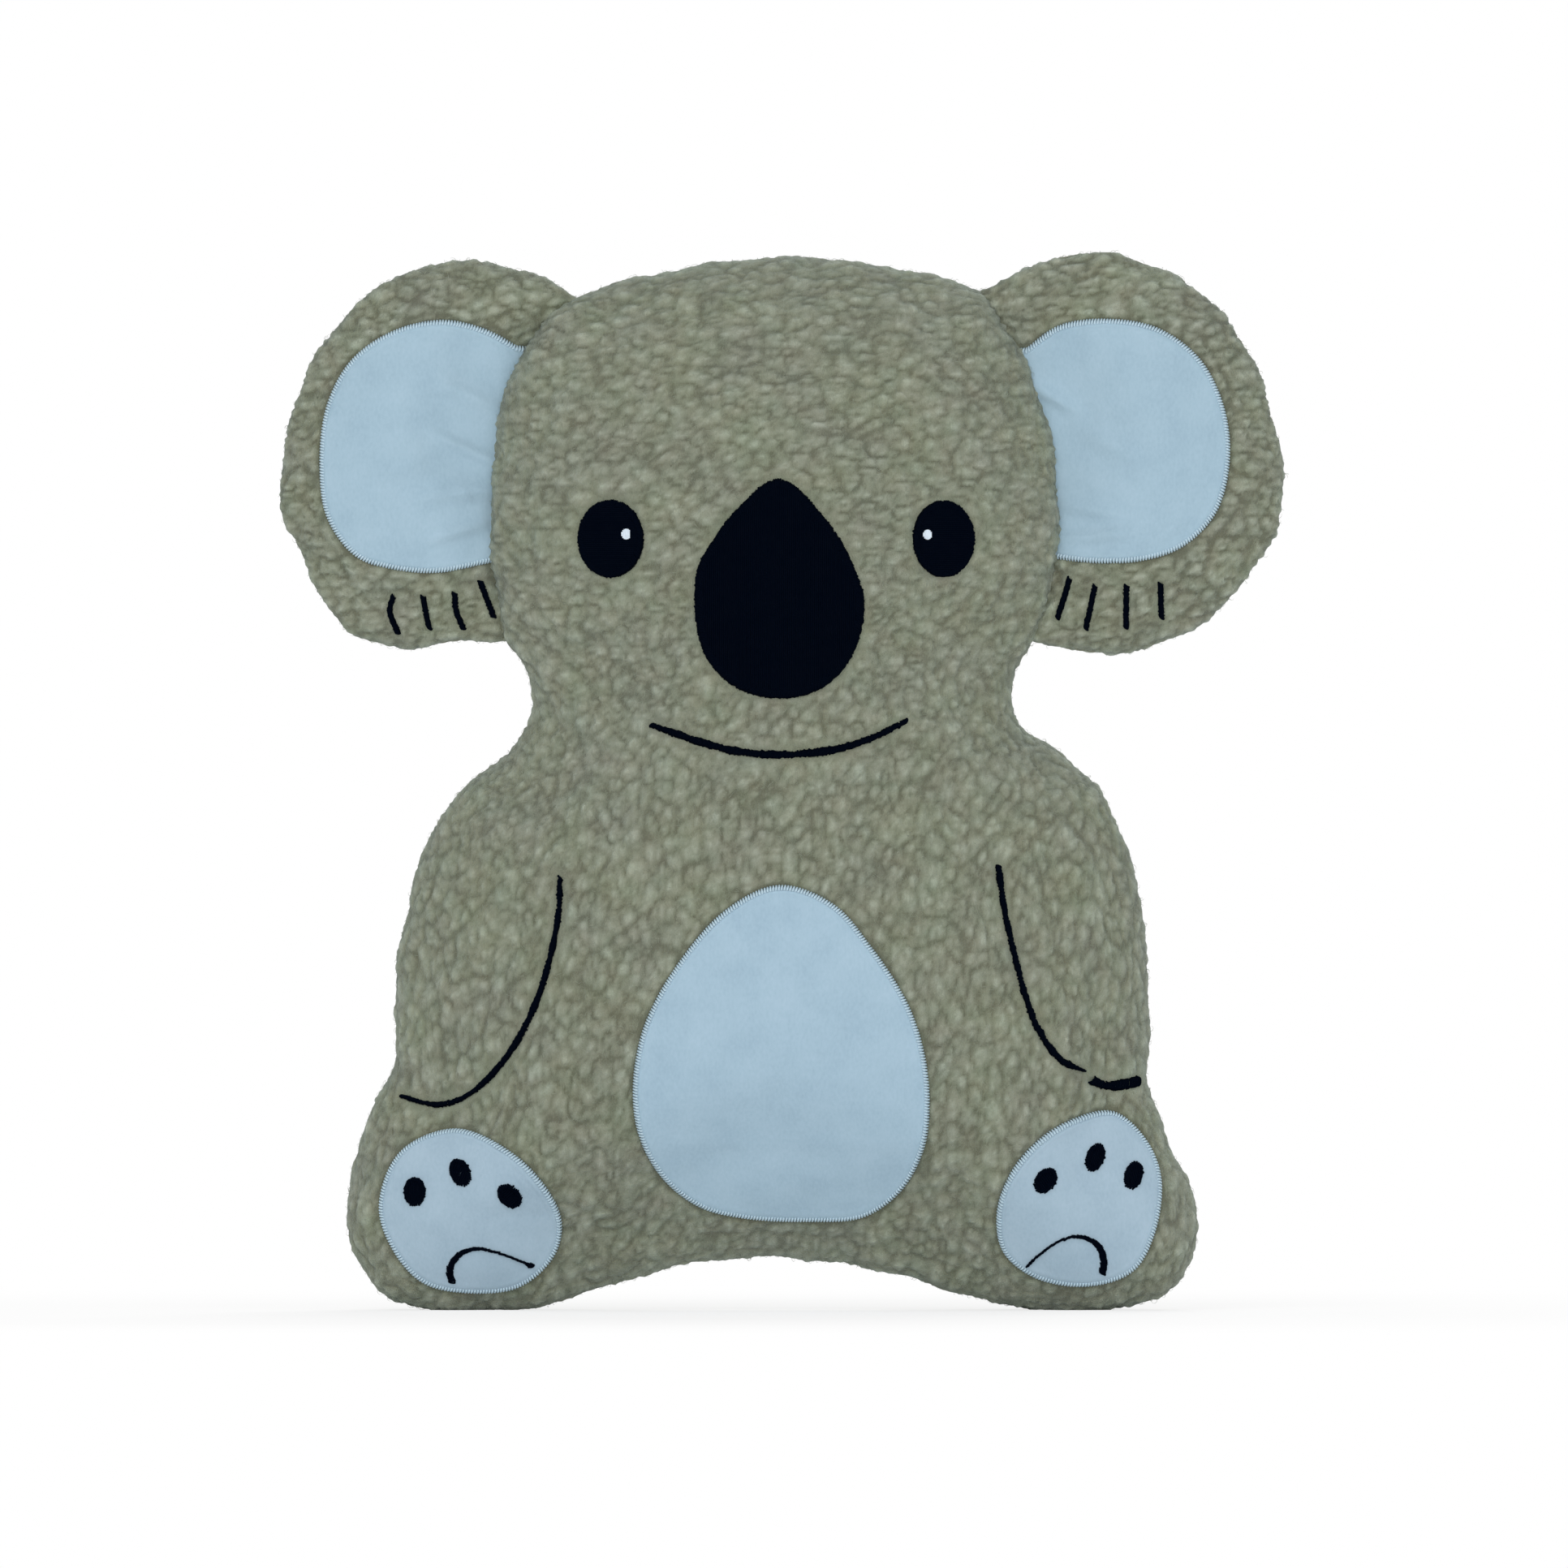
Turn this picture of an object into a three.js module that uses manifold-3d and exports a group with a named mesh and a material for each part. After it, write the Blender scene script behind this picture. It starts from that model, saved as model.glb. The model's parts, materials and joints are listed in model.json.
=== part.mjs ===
// A plush koala made as a flat pillow toy. Two panels of curly fleece are sewn together round the
// edge and stuffed, two flatter ears bend where they are sewn to the head, and smooth patches and
// embroidery make the face, ears, belly and feet.
// Millimetres, +Z up, the face looks along -Y. Left and right are those of the front view.

import * as THREE from 'three';
import { mergeVertices } from 'three/addons/utils/BufferGeometryUtils.js';
import Module from 'manifold-3d';

// Whole toy
const toyWidth = 247.5; // from ear tip to ear tip
const toyHeight = 260; // from the soles to the top of the higher ear
const soleDepth = 0.5; // how far the two soles are pressed flat
const rimStep = 13; // spacing of the points round the body's edge
const earStep = 11; // spacing of the points round an ear's free edge

// Fleece panels and the seam that joins them
const fleeceThickness = 2.4;
const seamGap = 0.3; // between the two panels where they are sewn together
const edgeHalfThickness = 1.1; // rounded edge of a panel beside the seam
const edgeRoll = 1.2; // from that edge in to where the panels meet
const edgeShoulder = 0.4; // where the outer face leaves the rounded edge
const edgeCurve = 1.8; // next point of the outer face, still on its steepest part
const bodySeamAllowance = 5;
const earSeamAllowance = 3;
const seamThreadRadius = 0.25;
const seamThreadMargin = 0.05; // by which the thread clears the depth of the soles

// Filling: half the thickness of a stuffed form at a given distance from its edge
const bodyPuff = 27;
const bodyPuffReach = 38;
const earPuff = 9.5;
const earPuffReach = 20;
const puffPower = 0.45;
const fillingClearance = 0.9; // from the filling to the inside of a panel

// Ears
const hingeGap = 0.8; // from the head's edge to the root of the ear
const patchRootInset = 1.2; // from the root of the ear to its patch

// Patches, their edge stitching and the embroidery
const layGap = 0.3; // under everything that lies on a fleece panel or on a patch
const patchThickness = 1;
const patchStep = 7.5;
const edgeStitchWidth = 1.2;
const edgeStitchThickness = 0.8;
const edgeStitchGap = 0.3; // between a patch and the stitches round it
const embroideryThickness = 1;
const embroideryStep = 8;
const threadLineRadius = 0.9;
const threadLineGap = 0.45; // under a line of thread
const threadLineStep = 5;
const tuftRadius = 0.7;
const pawLineRadius = 0.7;
const highlightThickness = 0.6;
const eyeWidth = 15.4;
const eyeHeight = 18.6;
const highlightWidth = 3.6;
const highlightHeight = 4.2;
const toeWidth = 5;
const toeHeight = 6.6;
const slopeProbe = 0.2; // half the distance over which a slope is measured
const cutOverrun = 5; // how far the cut under the soles reaches past the toy
const facetMargin = 1e-9; // share of a triangle by which a place may lie beside it

// Outline of the body, as shares of the toy's width and height, clockwise from the left ear
const headTopShares = [
  [-0.203, 0.957], [-0.141, 0.976], [-0.076, 0.988], [0, 0.993], [0.076, 0.989], [0.141, 0.977],
  [0.193, 0.963],
];
const rightCreaseShares = [
  [0.193, 0.963], [0.221, 0.929], [0.247, 0.883], [0.267, 0.82], [0.274, 0.754], [0.268, 0.689],
  [0.246, 0.631],
];
const rightSideShares = [
  [0.246, 0.631], [0.229, 0.603], [0.226, 0.574], [0.239, 0.552], [0.27, 0.53], [0.316, 0.487],
  [0.345, 0.429], [0.359, 0.357], [0.363, 0.28], [0.362, 0.223], [0.379, 0.166], [0.405, 0.114],
  [0.411, 0.07], [0.392, 0.029],
];
const baseShares = [
  [0.392, 0.029], [0.35, 0.006], [0.302, 0], [0.254, 0], [0.189, 0.013], [0.093, 0.039],
  [-0.004, 0.05], [-0.093, 0.044], [-0.177, 0.023], [-0.262, 0.002], [-0.302, 0], [-0.342, 0],
  [-0.39, 0.013], [-0.42, 0.043],
];
const leftSideShares = [
  [-0.42, 0.043], [-0.433, 0.085], [-0.428, 0.131], [-0.407, 0.189], [-0.386, 0.238],
  [-0.385, 0.296], [-0.377, 0.364], [-0.355, 0.437], [-0.318, 0.491], [-0.267, 0.533],
  [-0.248, 0.567], [-0.254, 0.6], [-0.273, 0.632],
];
const leftCreaseShares = [
  [-0.273, 0.632], [-0.287, 0.689], [-0.291, 0.754], [-0.287, 0.816], [-0.271, 0.883],
  [-0.242, 0.93], [-0.203, 0.957],
];
const bodyMiddleShare = [0, 0.464];

// Rings of points between the middle of a form, 0, and its edge, 1
const bodyOuterShares = [0.2, 0.4, 0.58, 0.74, 0.87, 0.95];
const bodyInnerShares = [0.86, 0.7, 0.45, 0.22];
const bodyFillingEdgeShare = 0.84;
const earOuterShares = [0.35, 0.62, 0.83];
const earInnerShares = [0.62, 0.33];
const earFillingEdgeShare = 0.64;
const plateShares = [0.35, 0.7, 1];
const toePlateShares = [1];
const ridgeShares = [0, 0.2, 0.4, 0.6, 0.8]; // along each edge of a facet

// Ears, patches and embroidery, as shares of the toy's width and height
const left = {
  side: 'left',
  earMiddleShare: [-0.374, 0.856],
  earEdgeShares: [
    [-0.229, 0.972], [-0.27, 0.986], [-0.314, 0.992], [-0.362, 0.985], [-0.411, 0.959],
    [-0.452, 0.919], [-0.482, 0.864], [-0.498, 0.808], [-0.498, 0.753], [-0.478, 0.71],
    [-0.457, 0.669], [-0.427, 0.637], [-0.374, 0.624], [-0.322, 0.63],
  ],
  earPatchShares: [
    [-0.265, 0.909], [-0.294, 0.924], [-0.338, 0.933], [-0.386, 0.923], [-0.427, 0.896],
    [-0.451, 0.854], [-0.458, 0.8], [-0.451, 0.749], [-0.423, 0.713], [-0.386, 0.701],
    [-0.342, 0.698], [-0.297, 0.706],
  ],
  tuftShares: [
    [[-0.386, 0.674], [-0.39, 0.66], [-0.382, 0.64]],
    [[-0.357, 0.674], [-0.351, 0.644]],
    [[-0.326, 0.677], [-0.324, 0.66], [-0.317, 0.644]],
    [[-0.3, 0.688], [-0.287, 0.655]],
  ],
  eyeShare: [-0.171, 0.728],
  highlightShare: [-0.156, 0.734],
  footPatchShares: [
    [-0.324, 0.172], [-0.378, 0.151], [-0.399, 0.101], [-0.387, 0.062], [-0.358, 0.03],
    [-0.318, 0.02], [-0.262, 0.025], [-0.228, 0.054], [-0.221, 0.085], [-0.236, 0.117],
    [-0.27, 0.15],
  ],
  footMiddleShare: [-0.31, 0.095],
  toeShares: [[-0.364, 0.114], [-0.319, 0.132], [-0.271, 0.111]],
  toeTurns: [0, 20, 55],
  heelShares: [
    [-0.33, 0.03], [-0.333, 0.042], [-0.324, 0.053], [-0.314, 0.059], [-0.298, 0.061],
    [-0.278, 0.056], [-0.249, 0.045],
  ],
};
const right = {
  side: 'right',
  earMiddleShare: [0.366, 0.84],
  earEdgeShares: [
    [0.224, 0.975], [0.27, 0.995], [0.318, 1], [0.37, 0.986], [0.423, 0.954], [0.46, 0.911],
    [0.484, 0.854], [0.498, 0.789], [0.492, 0.741], [0.467, 0.702], [0.443, 0.67], [0.4, 0.639],
    [0.342, 0.62], [0.29, 0.621],
  ],
  earPatchShares: [
    [0.242, 0.907], [0.274, 0.928], [0.322, 0.934], [0.37, 0.926], [0.411, 0.898],
    [0.435, 0.854], [0.441, 0.803], [0.428, 0.754], [0.395, 0.722], [0.354, 0.709],
    [0.31, 0.707], [0.279, 0.71],
  ],
  tuftShares: [
    [[0.284, 0.691], [0.272, 0.654]],
    [[0.309, 0.684], [0.3, 0.644]],
    [[0.34, 0.684], [0.34, 0.645]],
    [[0.374, 0.686], [0.375, 0.654]],
  ],
  eyeShare: [0.159, 0.728],
  highlightShare: [0.143, 0.734],
  footPatchShares: [
    [0.327, 0.188], [0.357, 0.164], [0.373, 0.127], [0.367, 0.076], [0.346, 0.04], [0.302, 0.026],
    [0.25, 0.034], [0.219, 0.058], [0.213, 0.093], [0.225, 0.129], [0.254, 0.162], [0.29, 0.182],
  ],
  footMiddleShare: [0.294, 0.106],
  toeShares: [[0.259, 0.125], [0.308, 0.146], [0.346, 0.129]],
  toeTurns: [-30, -20, -15],
  heelShares: [
    [0.243, 0.044], [0.258, 0.058], [0.277, 0.069], [0.296, 0.072], [0.312, 0.063],
    [0.317, 0.051], [0.316, 0.038],
  ],
};
const bellyPatchShares = [
  [-0.004, 0.401], [-0.056, 0.378], [-0.105, 0.325], [-0.137, 0.267], [-0.147, 0.208],
  [-0.139, 0.161], [-0.115, 0.124], [-0.081, 0.1], [-0.038, 0.09], [0.023, 0.087], [0.079, 0.091],
  [0.116, 0.116], [0.138, 0.156], [0.143, 0.199], [0.138, 0.244], [0.122, 0.29], [0.085, 0.345],
  [0.048, 0.384],
];
const bellyMiddleShare = [-0.004, 0.227];
const noseShares = [
  [-0.004, 0.784], [-0.043, 0.758], [-0.068, 0.728], [-0.084, 0.701], [-0.087, 0.659],
  [-0.076, 0.617], [-0.048, 0.589], [0, 0.578], [0.04, 0.589], [0.068, 0.618], [0.08, 0.667],
  [0.068, 0.705], [0.046, 0.741],
];
const noseMiddleShare = [-0.004, 0.667];
const mouthShares = [
  [-0.13, 0.553], [-0.085, 0.537], [-0.044, 0.527], [-0.004, 0.524], [0.052, 0.529],
  [0.093, 0.542], [0.122, 0.557],
];
const leftArmShares = [
  [-0.22, 0.41], [-0.221, 0.38], [-0.227, 0.341], [-0.242, 0.296], [-0.262, 0.254],
  [-0.286, 0.223], [-0.31, 0.202], [-0.338, 0.195], [-0.358, 0.198], [-0.378, 0.204],
];
const rightArmShares = [
  [0.213, 0.42], [0.22, 0.38], [0.229, 0.341], [0.242, 0.299], [0.254, 0.269], [0.274, 0.242],
  [0.298, 0.228],
];
const rightPawShares = [[0.306, 0.219], [0.326, 0.213], [0.352, 0.216]];

const wasm = await Module();
wasm.setup();

// Materials
const material = (color, roughness) => new THREE.MeshStandardMaterial({ color, roughness, metalness: 0 });
const finishes = {
  fleece: () => material('#81886f', 0.95),
  patch: () => material('#a4bfcf', 0.85),
  blackThread: () => material('#080d18', 0.6),
  whiteThread: () => material('#dfe8ec', 0.6),
  seamThread: () => material('#8b8f7c', 0.7),
  filling: () => material('#eeeeea', 1),
};

// Places and curves in the front view

function place([across, up]) {
  return new THREE.Vector3(across * toyWidth, 0, up * (toyHeight + soleDepth) - soleDepth);
}

function evenPoints(points, step, closed) {
  const curve = new THREE.CatmullRomCurve3(points, closed, 'centripetal');
  const count = Math.max(2, Math.round(curve.getLength() / step));
  const even = curve.getSpacedPoints(count);
  return closed ? even.slice(0, -1) : even;
}

function ellipsePoints(middle, width, height, degrees, count) {
  const curve = new THREE.EllipseCurve(
    middle.x, middle.z, width / 2, height / 2, 0, 2 * Math.PI, false, THREE.MathUtils.degToRad(degrees),
  );
  return curve.getPoints(count).slice(0, -1).map((p) => new THREE.Vector3(p.x, 0, p.y));
}

function turningSign(loop) {
  const area = loop.reduce((sum, a, i) => {
    const b = loop[(i + 1) % loop.length];
    return sum + a.x * b.z - b.x * a.z;
  }, 0);
  return Math.sign(area);
}

// Directions in the front view that point into a closed loop, one for each of its points
function inwardDirections(loop) {
  const sign = turningSign(loop);
  const edgeDirections = loop.map((a, i) => {
    const along = loop[(i + 1) % loop.length].clone().sub(a).normalize();
    return new THREE.Vector3(-along.z * sign, 0, along.x * sign);
  });
  return loop.map((_, i) => {
    const before = edgeDirections[(i + loop.length - 1) % loop.length];
    const inward = before.clone().add(edgeDirections[i]);
    return inward.multiplyScalar(2 / inward.lengthSq());
  });
}

function insetLoop(loop, inset) {
  const inward = inwardDirections(loop);
  return loop.map((p, i) => p.clone().addScaledVector(inward[i], inset));
}

// Distance of a place from an outline, softened so that far sides count too:
// every piece of the outline pulls with the inverse cube of its distance
function softDistance(outline, x, z) {
  let pull = 0;
  outline.forEach((a, i) => {
    const b = outline[(i + 1) % outline.length];
    const toA = Math.hypot(a.x - x, a.z - z);
    const toB = Math.hypot(b.x - x, b.z - z);
    const dot = (a.x - x) * (b.x - x) + (a.z - z) * (b.z - z);
    pull += (a.distanceTo(b) * (toA + toB)) / (toA * toB * (toA * toB + dot));
  });
  return Math.sqrt(2 / pull);
}

// A stuffed form: its outline, middle and half thickness, and the front face that its panel has
function stuffedForm(rim, middle, puff, reach, outerShares) {
  const halfThickness = (x, z) => puff * (softDistance(rim, x, z) / reach) ** puffPower;
  const form = { rim, middle, outerShares, halfThickness };
  const rings = outerRings(form, -1);
  form.facets = ringFacets(rings, facePoint(form, -1, middle, 0));
  form.ridgePoints = form.facets.flatMap(([a, b, c]) => ridgeShares.flatMap(
    (share) => [a.clone().lerp(b, share), b.clone().lerp(c, share), c.clone().lerp(a, share)],
  ));
  return form;
}

// Direction square to the form's face on one side, -1 front or 1 back
function faceDirection(form, side, p) {
  const rise = (dx, dz) => form.halfThickness(p.x + dx, p.z + dz);
  const slopeX = (rise(slopeProbe, 0) - rise(-slopeProbe, 0)) / (2 * slopeProbe);
  const slopeZ = (rise(0, slopeProbe) - rise(0, -slopeProbe)) / (2 * slopeProbe);
  return new THREE.Vector3(-slopeX, side, -slopeZ).normalize();
}

// Point of the form's face on one side, sunk square to the face by a depth
function facePoint(form, side, p, depth) {
  const onFace = new THREE.Vector3(p.x, side * form.halfThickness(p.x, p.z), p.z);
  return depth === 0 ? onFace : onFace.addScaledVector(faceDirection(form, side, p), -depth);
}

// Meshes

function signedVolume(positions, triangles) {
  let sum = 0;
  const corner = (i) => new THREE.Vector3().fromArray(positions, 3 * triangles[i]);
  for (let i = 0; i < triangles.length; i += 3) {
    sum += corner(i).dot(corner(i + 1).cross(corner(i + 2)));
  }
  return sum;
}

function meshGeometry(points, triangles) {
  const positions = points.flatMap((p) => [p.x, p.y, p.z]);
  if (signedVolume(positions, triangles) < 0) triangles.reverse();
  const geometry = new THREE.BufferGeometry();
  geometry.setAttribute('position', new THREE.Float32BufferAttribute(positions, 3));
  geometry.setIndex(triangles);
  geometry.computeVertexNormals();
  return geometry;
}

// Skin over rings of equally many points; it closes on a point at each end, or on itself
function skinRings(rings, startPoint, endPoint) {
  const count = rings[0].length;
  const points = rings.flat();
  const triangles = [];
  const closesOnItself = startPoint === undefined;
  const spans = closesOnItself ? rings.length : rings.length - 1;
  for (let r = 0; r < spans; r++) {
    const next = (r + 1) % rings.length;
    for (let i = 0; i < count; i++) {
      const j = (i + 1) % count;
      triangles.push(r * count + i, r * count + j, next * count + j);
      triangles.push(r * count + i, next * count + j, next * count + i);
    }
  }
  if (!closesOnItself) {
    const start = points.push(startPoint) - 1;
    const end = points.push(endPoint) - 1;
    const last = (rings.length - 1) * count;
    for (let i = 0; i < count; i++) {
      const j = (i + 1) % count;
      triangles.push(start, j, i);
      triangles.push(end, last + i, last + j);
    }
  }
  return meshGeometry(points, triangles);
}

const ringTowardsEdge = (form, share) => form.rim.map((p) => form.middle.clone().lerp(p, share));

const raised = (loop, y) => loop.map((p) => new THREE.Vector3(p.x, y, p.z));

// Outer face of a form on one side, from near its middle to its rounded edge
function outerRings(form, side) {
  const face = (loop) => loop.map((p) => facePoint(form, side, p, 0));
  return [
    ...form.outerShares.map((share) => face(ringTowardsEdge(form, share))),
    face(insetLoop(form.rim, edgeCurve)),
    face(insetLoop(form.rim, edgeShoulder)),
    raised(form.rim, side * edgeHalfThickness),
  ];
}

// One fleece panel: outer face, rounded edge, seam allowance and inner face
function panel(form, side, innerShares, allowance) {
  const face = (loop, depth) => loop.map((p) => facePoint(form, side, p, depth));
  const rings = [
    ...outerRings(form, side),
    raised(insetLoop(form.rim, edgeRoll), (side * seamGap) / 2),
    raised(insetLoop(form.rim, allowance), (side * seamGap) / 2),
    ...innerShares.map((share) => face(ringTowardsEdge(form, share), fleeceThickness)),
  ];
  const outerMiddle = facePoint(form, side, form.middle, 0);
  const innerMiddle = facePoint(form, side, form.middle, fleeceThickness);
  return skinRings(rings, outerMiddle, innerMiddle);
}

// The stuffing between the two panels, inside their seam allowances
function filling(form, innerShares, edgeShare) {
  const depth = fleeceThickness + fillingClearance;
  const face = (side) => innerShares.map(
    (share) => ringTowardsEdge(form, share).map((p) => facePoint(form, side, p, depth)),
  );
  const rings = [
    ...face(-1).reverse(),
    ringTowardsEdge(form, edgeShare),
    ...face(1),
  ];
  const [frontMiddle, backMiddle] = [-1, 1].map((side) => facePoint(form, side, form.middle, depth));
  return skinRings(rings, frontMiddle, backMiddle);
}

// The thread of the seam, in the valley between the rounded edges of the two panels
function seamThread(form) {
  const inward = inwardDirections(form.rim);
  const line = insetLoop(form.rim, soleDepth + seamThreadRadius + seamThreadMargin);
  const sides = [0, 1, 2, 3, 4];
  const rings = line.map((p, i) => sides.map((side) => {
    const angle = (2 * Math.PI * side) / sides.length;
    const across = inward[i].clone().normalize().multiplyScalar(seamThreadRadius * Math.cos(angle));
    return p.clone().add(across).setY(seamThreadRadius * Math.sin(angle));
  }));
  return skinRings(rings);
}

// Triangles of a strip between two lines of equally many points
function stripFacets(near, far, closed) {
  const spans = closed ? near.length : near.length - 1;
  const facets = [];
  for (let i = 0; i < spans; i++) {
    const j = (i + 1) % near.length;
    facets.push([near[i], near[j], far[j]], [near[i], far[j], far[i]]);
  }
  return facets;
}

// Triangles between neighbouring rings, and from the first ring to a point in its middle
function ringFacets(rings, middle) {
  const fan = rings[0].map((p, i) => [middle, p, rings[0][(i + 1) % rings[0].length]]);
  return rings.slice(1).reduce(
    (facets, ring, r) => facets.concat(stripFacets(rings[r], ring, true)), fan,
  );
}

// The Y of a face made of triangles at a place of the front view, or nothing beside the face
function faceY(facets, p) {
  const shares = new THREE.Vector3();
  const corners = [new THREE.Vector3(), new THREE.Vector3(), new THREE.Vector3()];
  for (const facet of facets) {
    facet.forEach((corner, i) => corners[i].set(corner.x, p.y, corner.z));
    THREE.Triangle.getBarycoord(p, ...corners, shares);
    if (Math.min(shares.x, shares.y, shares.z) >= -facetMargin) {
      return facet[0].y * shares.x + facet[1].y * shares.y + facet[2].y * shares.z;
    }
  }
  return undefined;
}

// A place on a layer at a height over the front of a form
function frontLayer(form, p, height) {
  const y = faceY(form.facets, p.clone().setY(0)) ?? -edgeHalfThickness;
  return new THREE.Vector3(p.x, y - height, p.z);
}

// How far a stiff layer has to rise so that no ridge of the form comes through it
function ridgeRise(form, underside) {
  const rises = form.ridgePoints.map((p) => {
    const y = faceY(underside, p);
    return y === undefined ? 0 : y - p.y;
  });
  return Math.max(0, ...rises);
}

// A plate that follows the front of a form, and how high its top lies over the form
function plate(form, loop, middle, lift, thickness, shares) {
  const ring = (share, height) => loop.map(
    (p) => frontLayer(form, middle.clone().lerp(p, share), height),
  );
  const underside = ringFacets(shares.map((share) => ring(share, 0)), frontLayer(form, middle, 0));
  const low = lift + ridgeRise(form, underside);
  const rings = [
    ...shares.map((share) => ring(share, low + thickness)),
    ...[...shares].reverse().map((share) => ring(share, low)),
  ];
  const geometry = skinRings(
    rings, frontLayer(form, middle, low + thickness), frontLayer(form, middle, low),
  );
  return { geometry, top: low + thickness };
}

// A flat band of stitches beside a line; a closed line keeps the band outside it
function stitchBand(form, line, closed) {
  const inward = closed ? inwardDirections(line) : openLineDirections(line);
  const edge = (outset) => line.map((p, i) => p.clone().addScaledVector(inward[i], -outset));
  const near = edge(edgeStitchGap);
  const far = edge(edgeStitchGap + edgeStitchWidth);
  const [nearUnder, farUnder] = [near, far].map(
    (edgeLine) => edgeLine.map((p) => frontLayer(form, p, 0)),
  );
  const underside = stripFacets(nearUnder, farUnder, closed);
  const low = layGap + ridgeRise(form, underside);
  const high = low + edgeStitchThickness;
  const rings = line.map((_, i) => [
    frontLayer(form, near[i], low),
    frontLayer(form, far[i], low),
    frontLayer(form, far[i], high),
    frontLayer(form, near[i], high),
  ]);
  if (closed) return skinRings(rings);
  return skinRings(rings, middleOf(rings[0]), middleOf(rings.at(-1)));
}

function middleOf(points) {
  const sum = points.reduce((total, p) => total.add(p), new THREE.Vector3());
  return sum.divideScalar(points.length);
}

// Inward directions along an open line that bends round a form's middle
function openLineDirections(line) {
  const closedDirections = inwardDirections(line);
  const square = (a, b, like) => {
    const along = b.clone().sub(a).normalize();
    const direction = new THREE.Vector3(-along.z, 0, along.x);
    return direction.multiplyScalar(Math.sign(direction.dot(like)));
  };
  closedDirections[0] = square(line[0], line[1], closedDirections[1]);
  closedDirections[line.length - 1] = square(line.at(-2), line.at(-1), closedDirections.at(-2));
  return closedDirections;
}

// A line of satin stitch that lies on the front of a form
function threadLine(form, shares, radius, lift) {
  const flat = new THREE.CatmullRomCurve3(shares.map(place), false, 'centripetal');
  const steps = Math.max(2, Math.round(flat.getLength() / threadLineStep));
  const points = flat.getSpacedPoints(2 * steps).map(
    (p) => frontLayer(form, p, 0).addScaledVector(faceDirection(form, -1, p), lift + radius),
  );
  const section = new THREE.Shape().absarc(0, 0, radius, 0, 2 * Math.PI);
  return new THREE.ExtrudeGeometry(section, {
    steps, curveSegments: 6, bevelEnabled: false, extrudePath: new THREE.CatmullRomCurve3(points),
  });
}

// Solids that stand on the soles are cut level there

function toSolid(geometry) {
  const bare = new THREE.BufferGeometry();
  bare.setAttribute('position', geometry.getAttribute('position'));
  bare.setIndex(geometry.getIndex());
  const merged = mergeVertices(bare);
  return new wasm.Manifold(new wasm.Mesh({
    numProp: 3,
    vertProperties: new Float32Array(merged.getAttribute('position').array),
    triVerts: new Uint32Array(merged.getIndex().array),
  }));
}

function cutLevelAtSoles(geometry) {
  const reach = new THREE.Vector3(toyWidth, bodyPuff * 4, cutOverrun).addScalar(cutOverrun);
  const below = new THREE.BoxGeometry(reach.x, reach.y, reach.z);
  below.translate(0, 0, -reach.z / 2);
  const mesh = toSolid(geometry).subtract(toSolid(below)).getMesh();
  const cut = new THREE.BufferGeometry();
  cut.setAttribute('position', new THREE.BufferAttribute(mesh.vertProperties, 3));
  cut.setIndex([...mesh.triVerts]);
  cut.computeVertexNormals();
  return cut;
}

// Assembly

const toy = new THREE.Group();

function add(group, name, geometry, finish) {
  const mesh = new THREE.Mesh(geometry, finishes[finish]());
  mesh.name = name;
  group.add(mesh);
}

function bodyForm() {
  const walk = (shares) => evenPoints(shares.map(place), rimStep, false).slice(0, -1);
  const [headTop, rightCrease, rightSide, base, leftSide, leftCrease] = [
    headTopShares, rightCreaseShares, rightSideShares, baseShares, leftSideShares, leftCreaseShares,
  ].map(walk);
  const rim = [...headTop, ...rightCrease, ...rightSide, ...base, ...leftSide, ...leftCrease];
  const run = (start, length) => Array.from({ length: length + 1 }, (_, i) => (start + i) % rim.length);
  return {
    ...stuffedForm(rim, place(bodyMiddleShare), bodyPuff, bodyPuffReach, bodyOuterShares),
    crease: {
      left: run(rim.length - leftCrease.length, leftCrease.length).reverse(),
      right: run(headTop.length, rightCrease.length),
    },
  };
}

// An ear's edge is its free edge, then its root, which follows the crease at the hinge gap
function earForm(body, ear) {
  const outward = insetLoop(body.rim, -hingeGap);
  const root = body.crease[ear.side].map((i) => outward[i]);
  const freeEdge = evenPoints(
    [root[0], ...ear.earEdgeShares.map(place), root.at(-1)], earStep, false,
  );
  const rim = [...freeEdge, ...root.slice(1, -1).reverse()];
  const form = stuffedForm(rim, place(ear.earMiddleShare), earPuff, earPuffReach, earOuterShares);
  return { ...form, root, rootStart: freeEdge.length - 1 };
}

// The hinge of an ear runs along the chord of its root, through the root's outermost point
function earHinge(form) {
  const top = form.root[0];
  const bottom = form.root.at(-1);
  const axis = top.clone().sub(bottom).normalize();
  const outward = new THREE.Vector3(axis.z, 0, -axis.x);
  if (outward.dot(form.middle.clone().sub(bottom)) < 0) outward.negate();
  const reach = (p) => p.clone().sub(bottom).dot(outward);
  const outermost = form.root.reduce((best, p) => (reach(p) > reach(best) ? p : best));
  const position = outermost.clone().addScaledVector(outward, -hingeGap / 2);
  return { position, axis };
}

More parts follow.
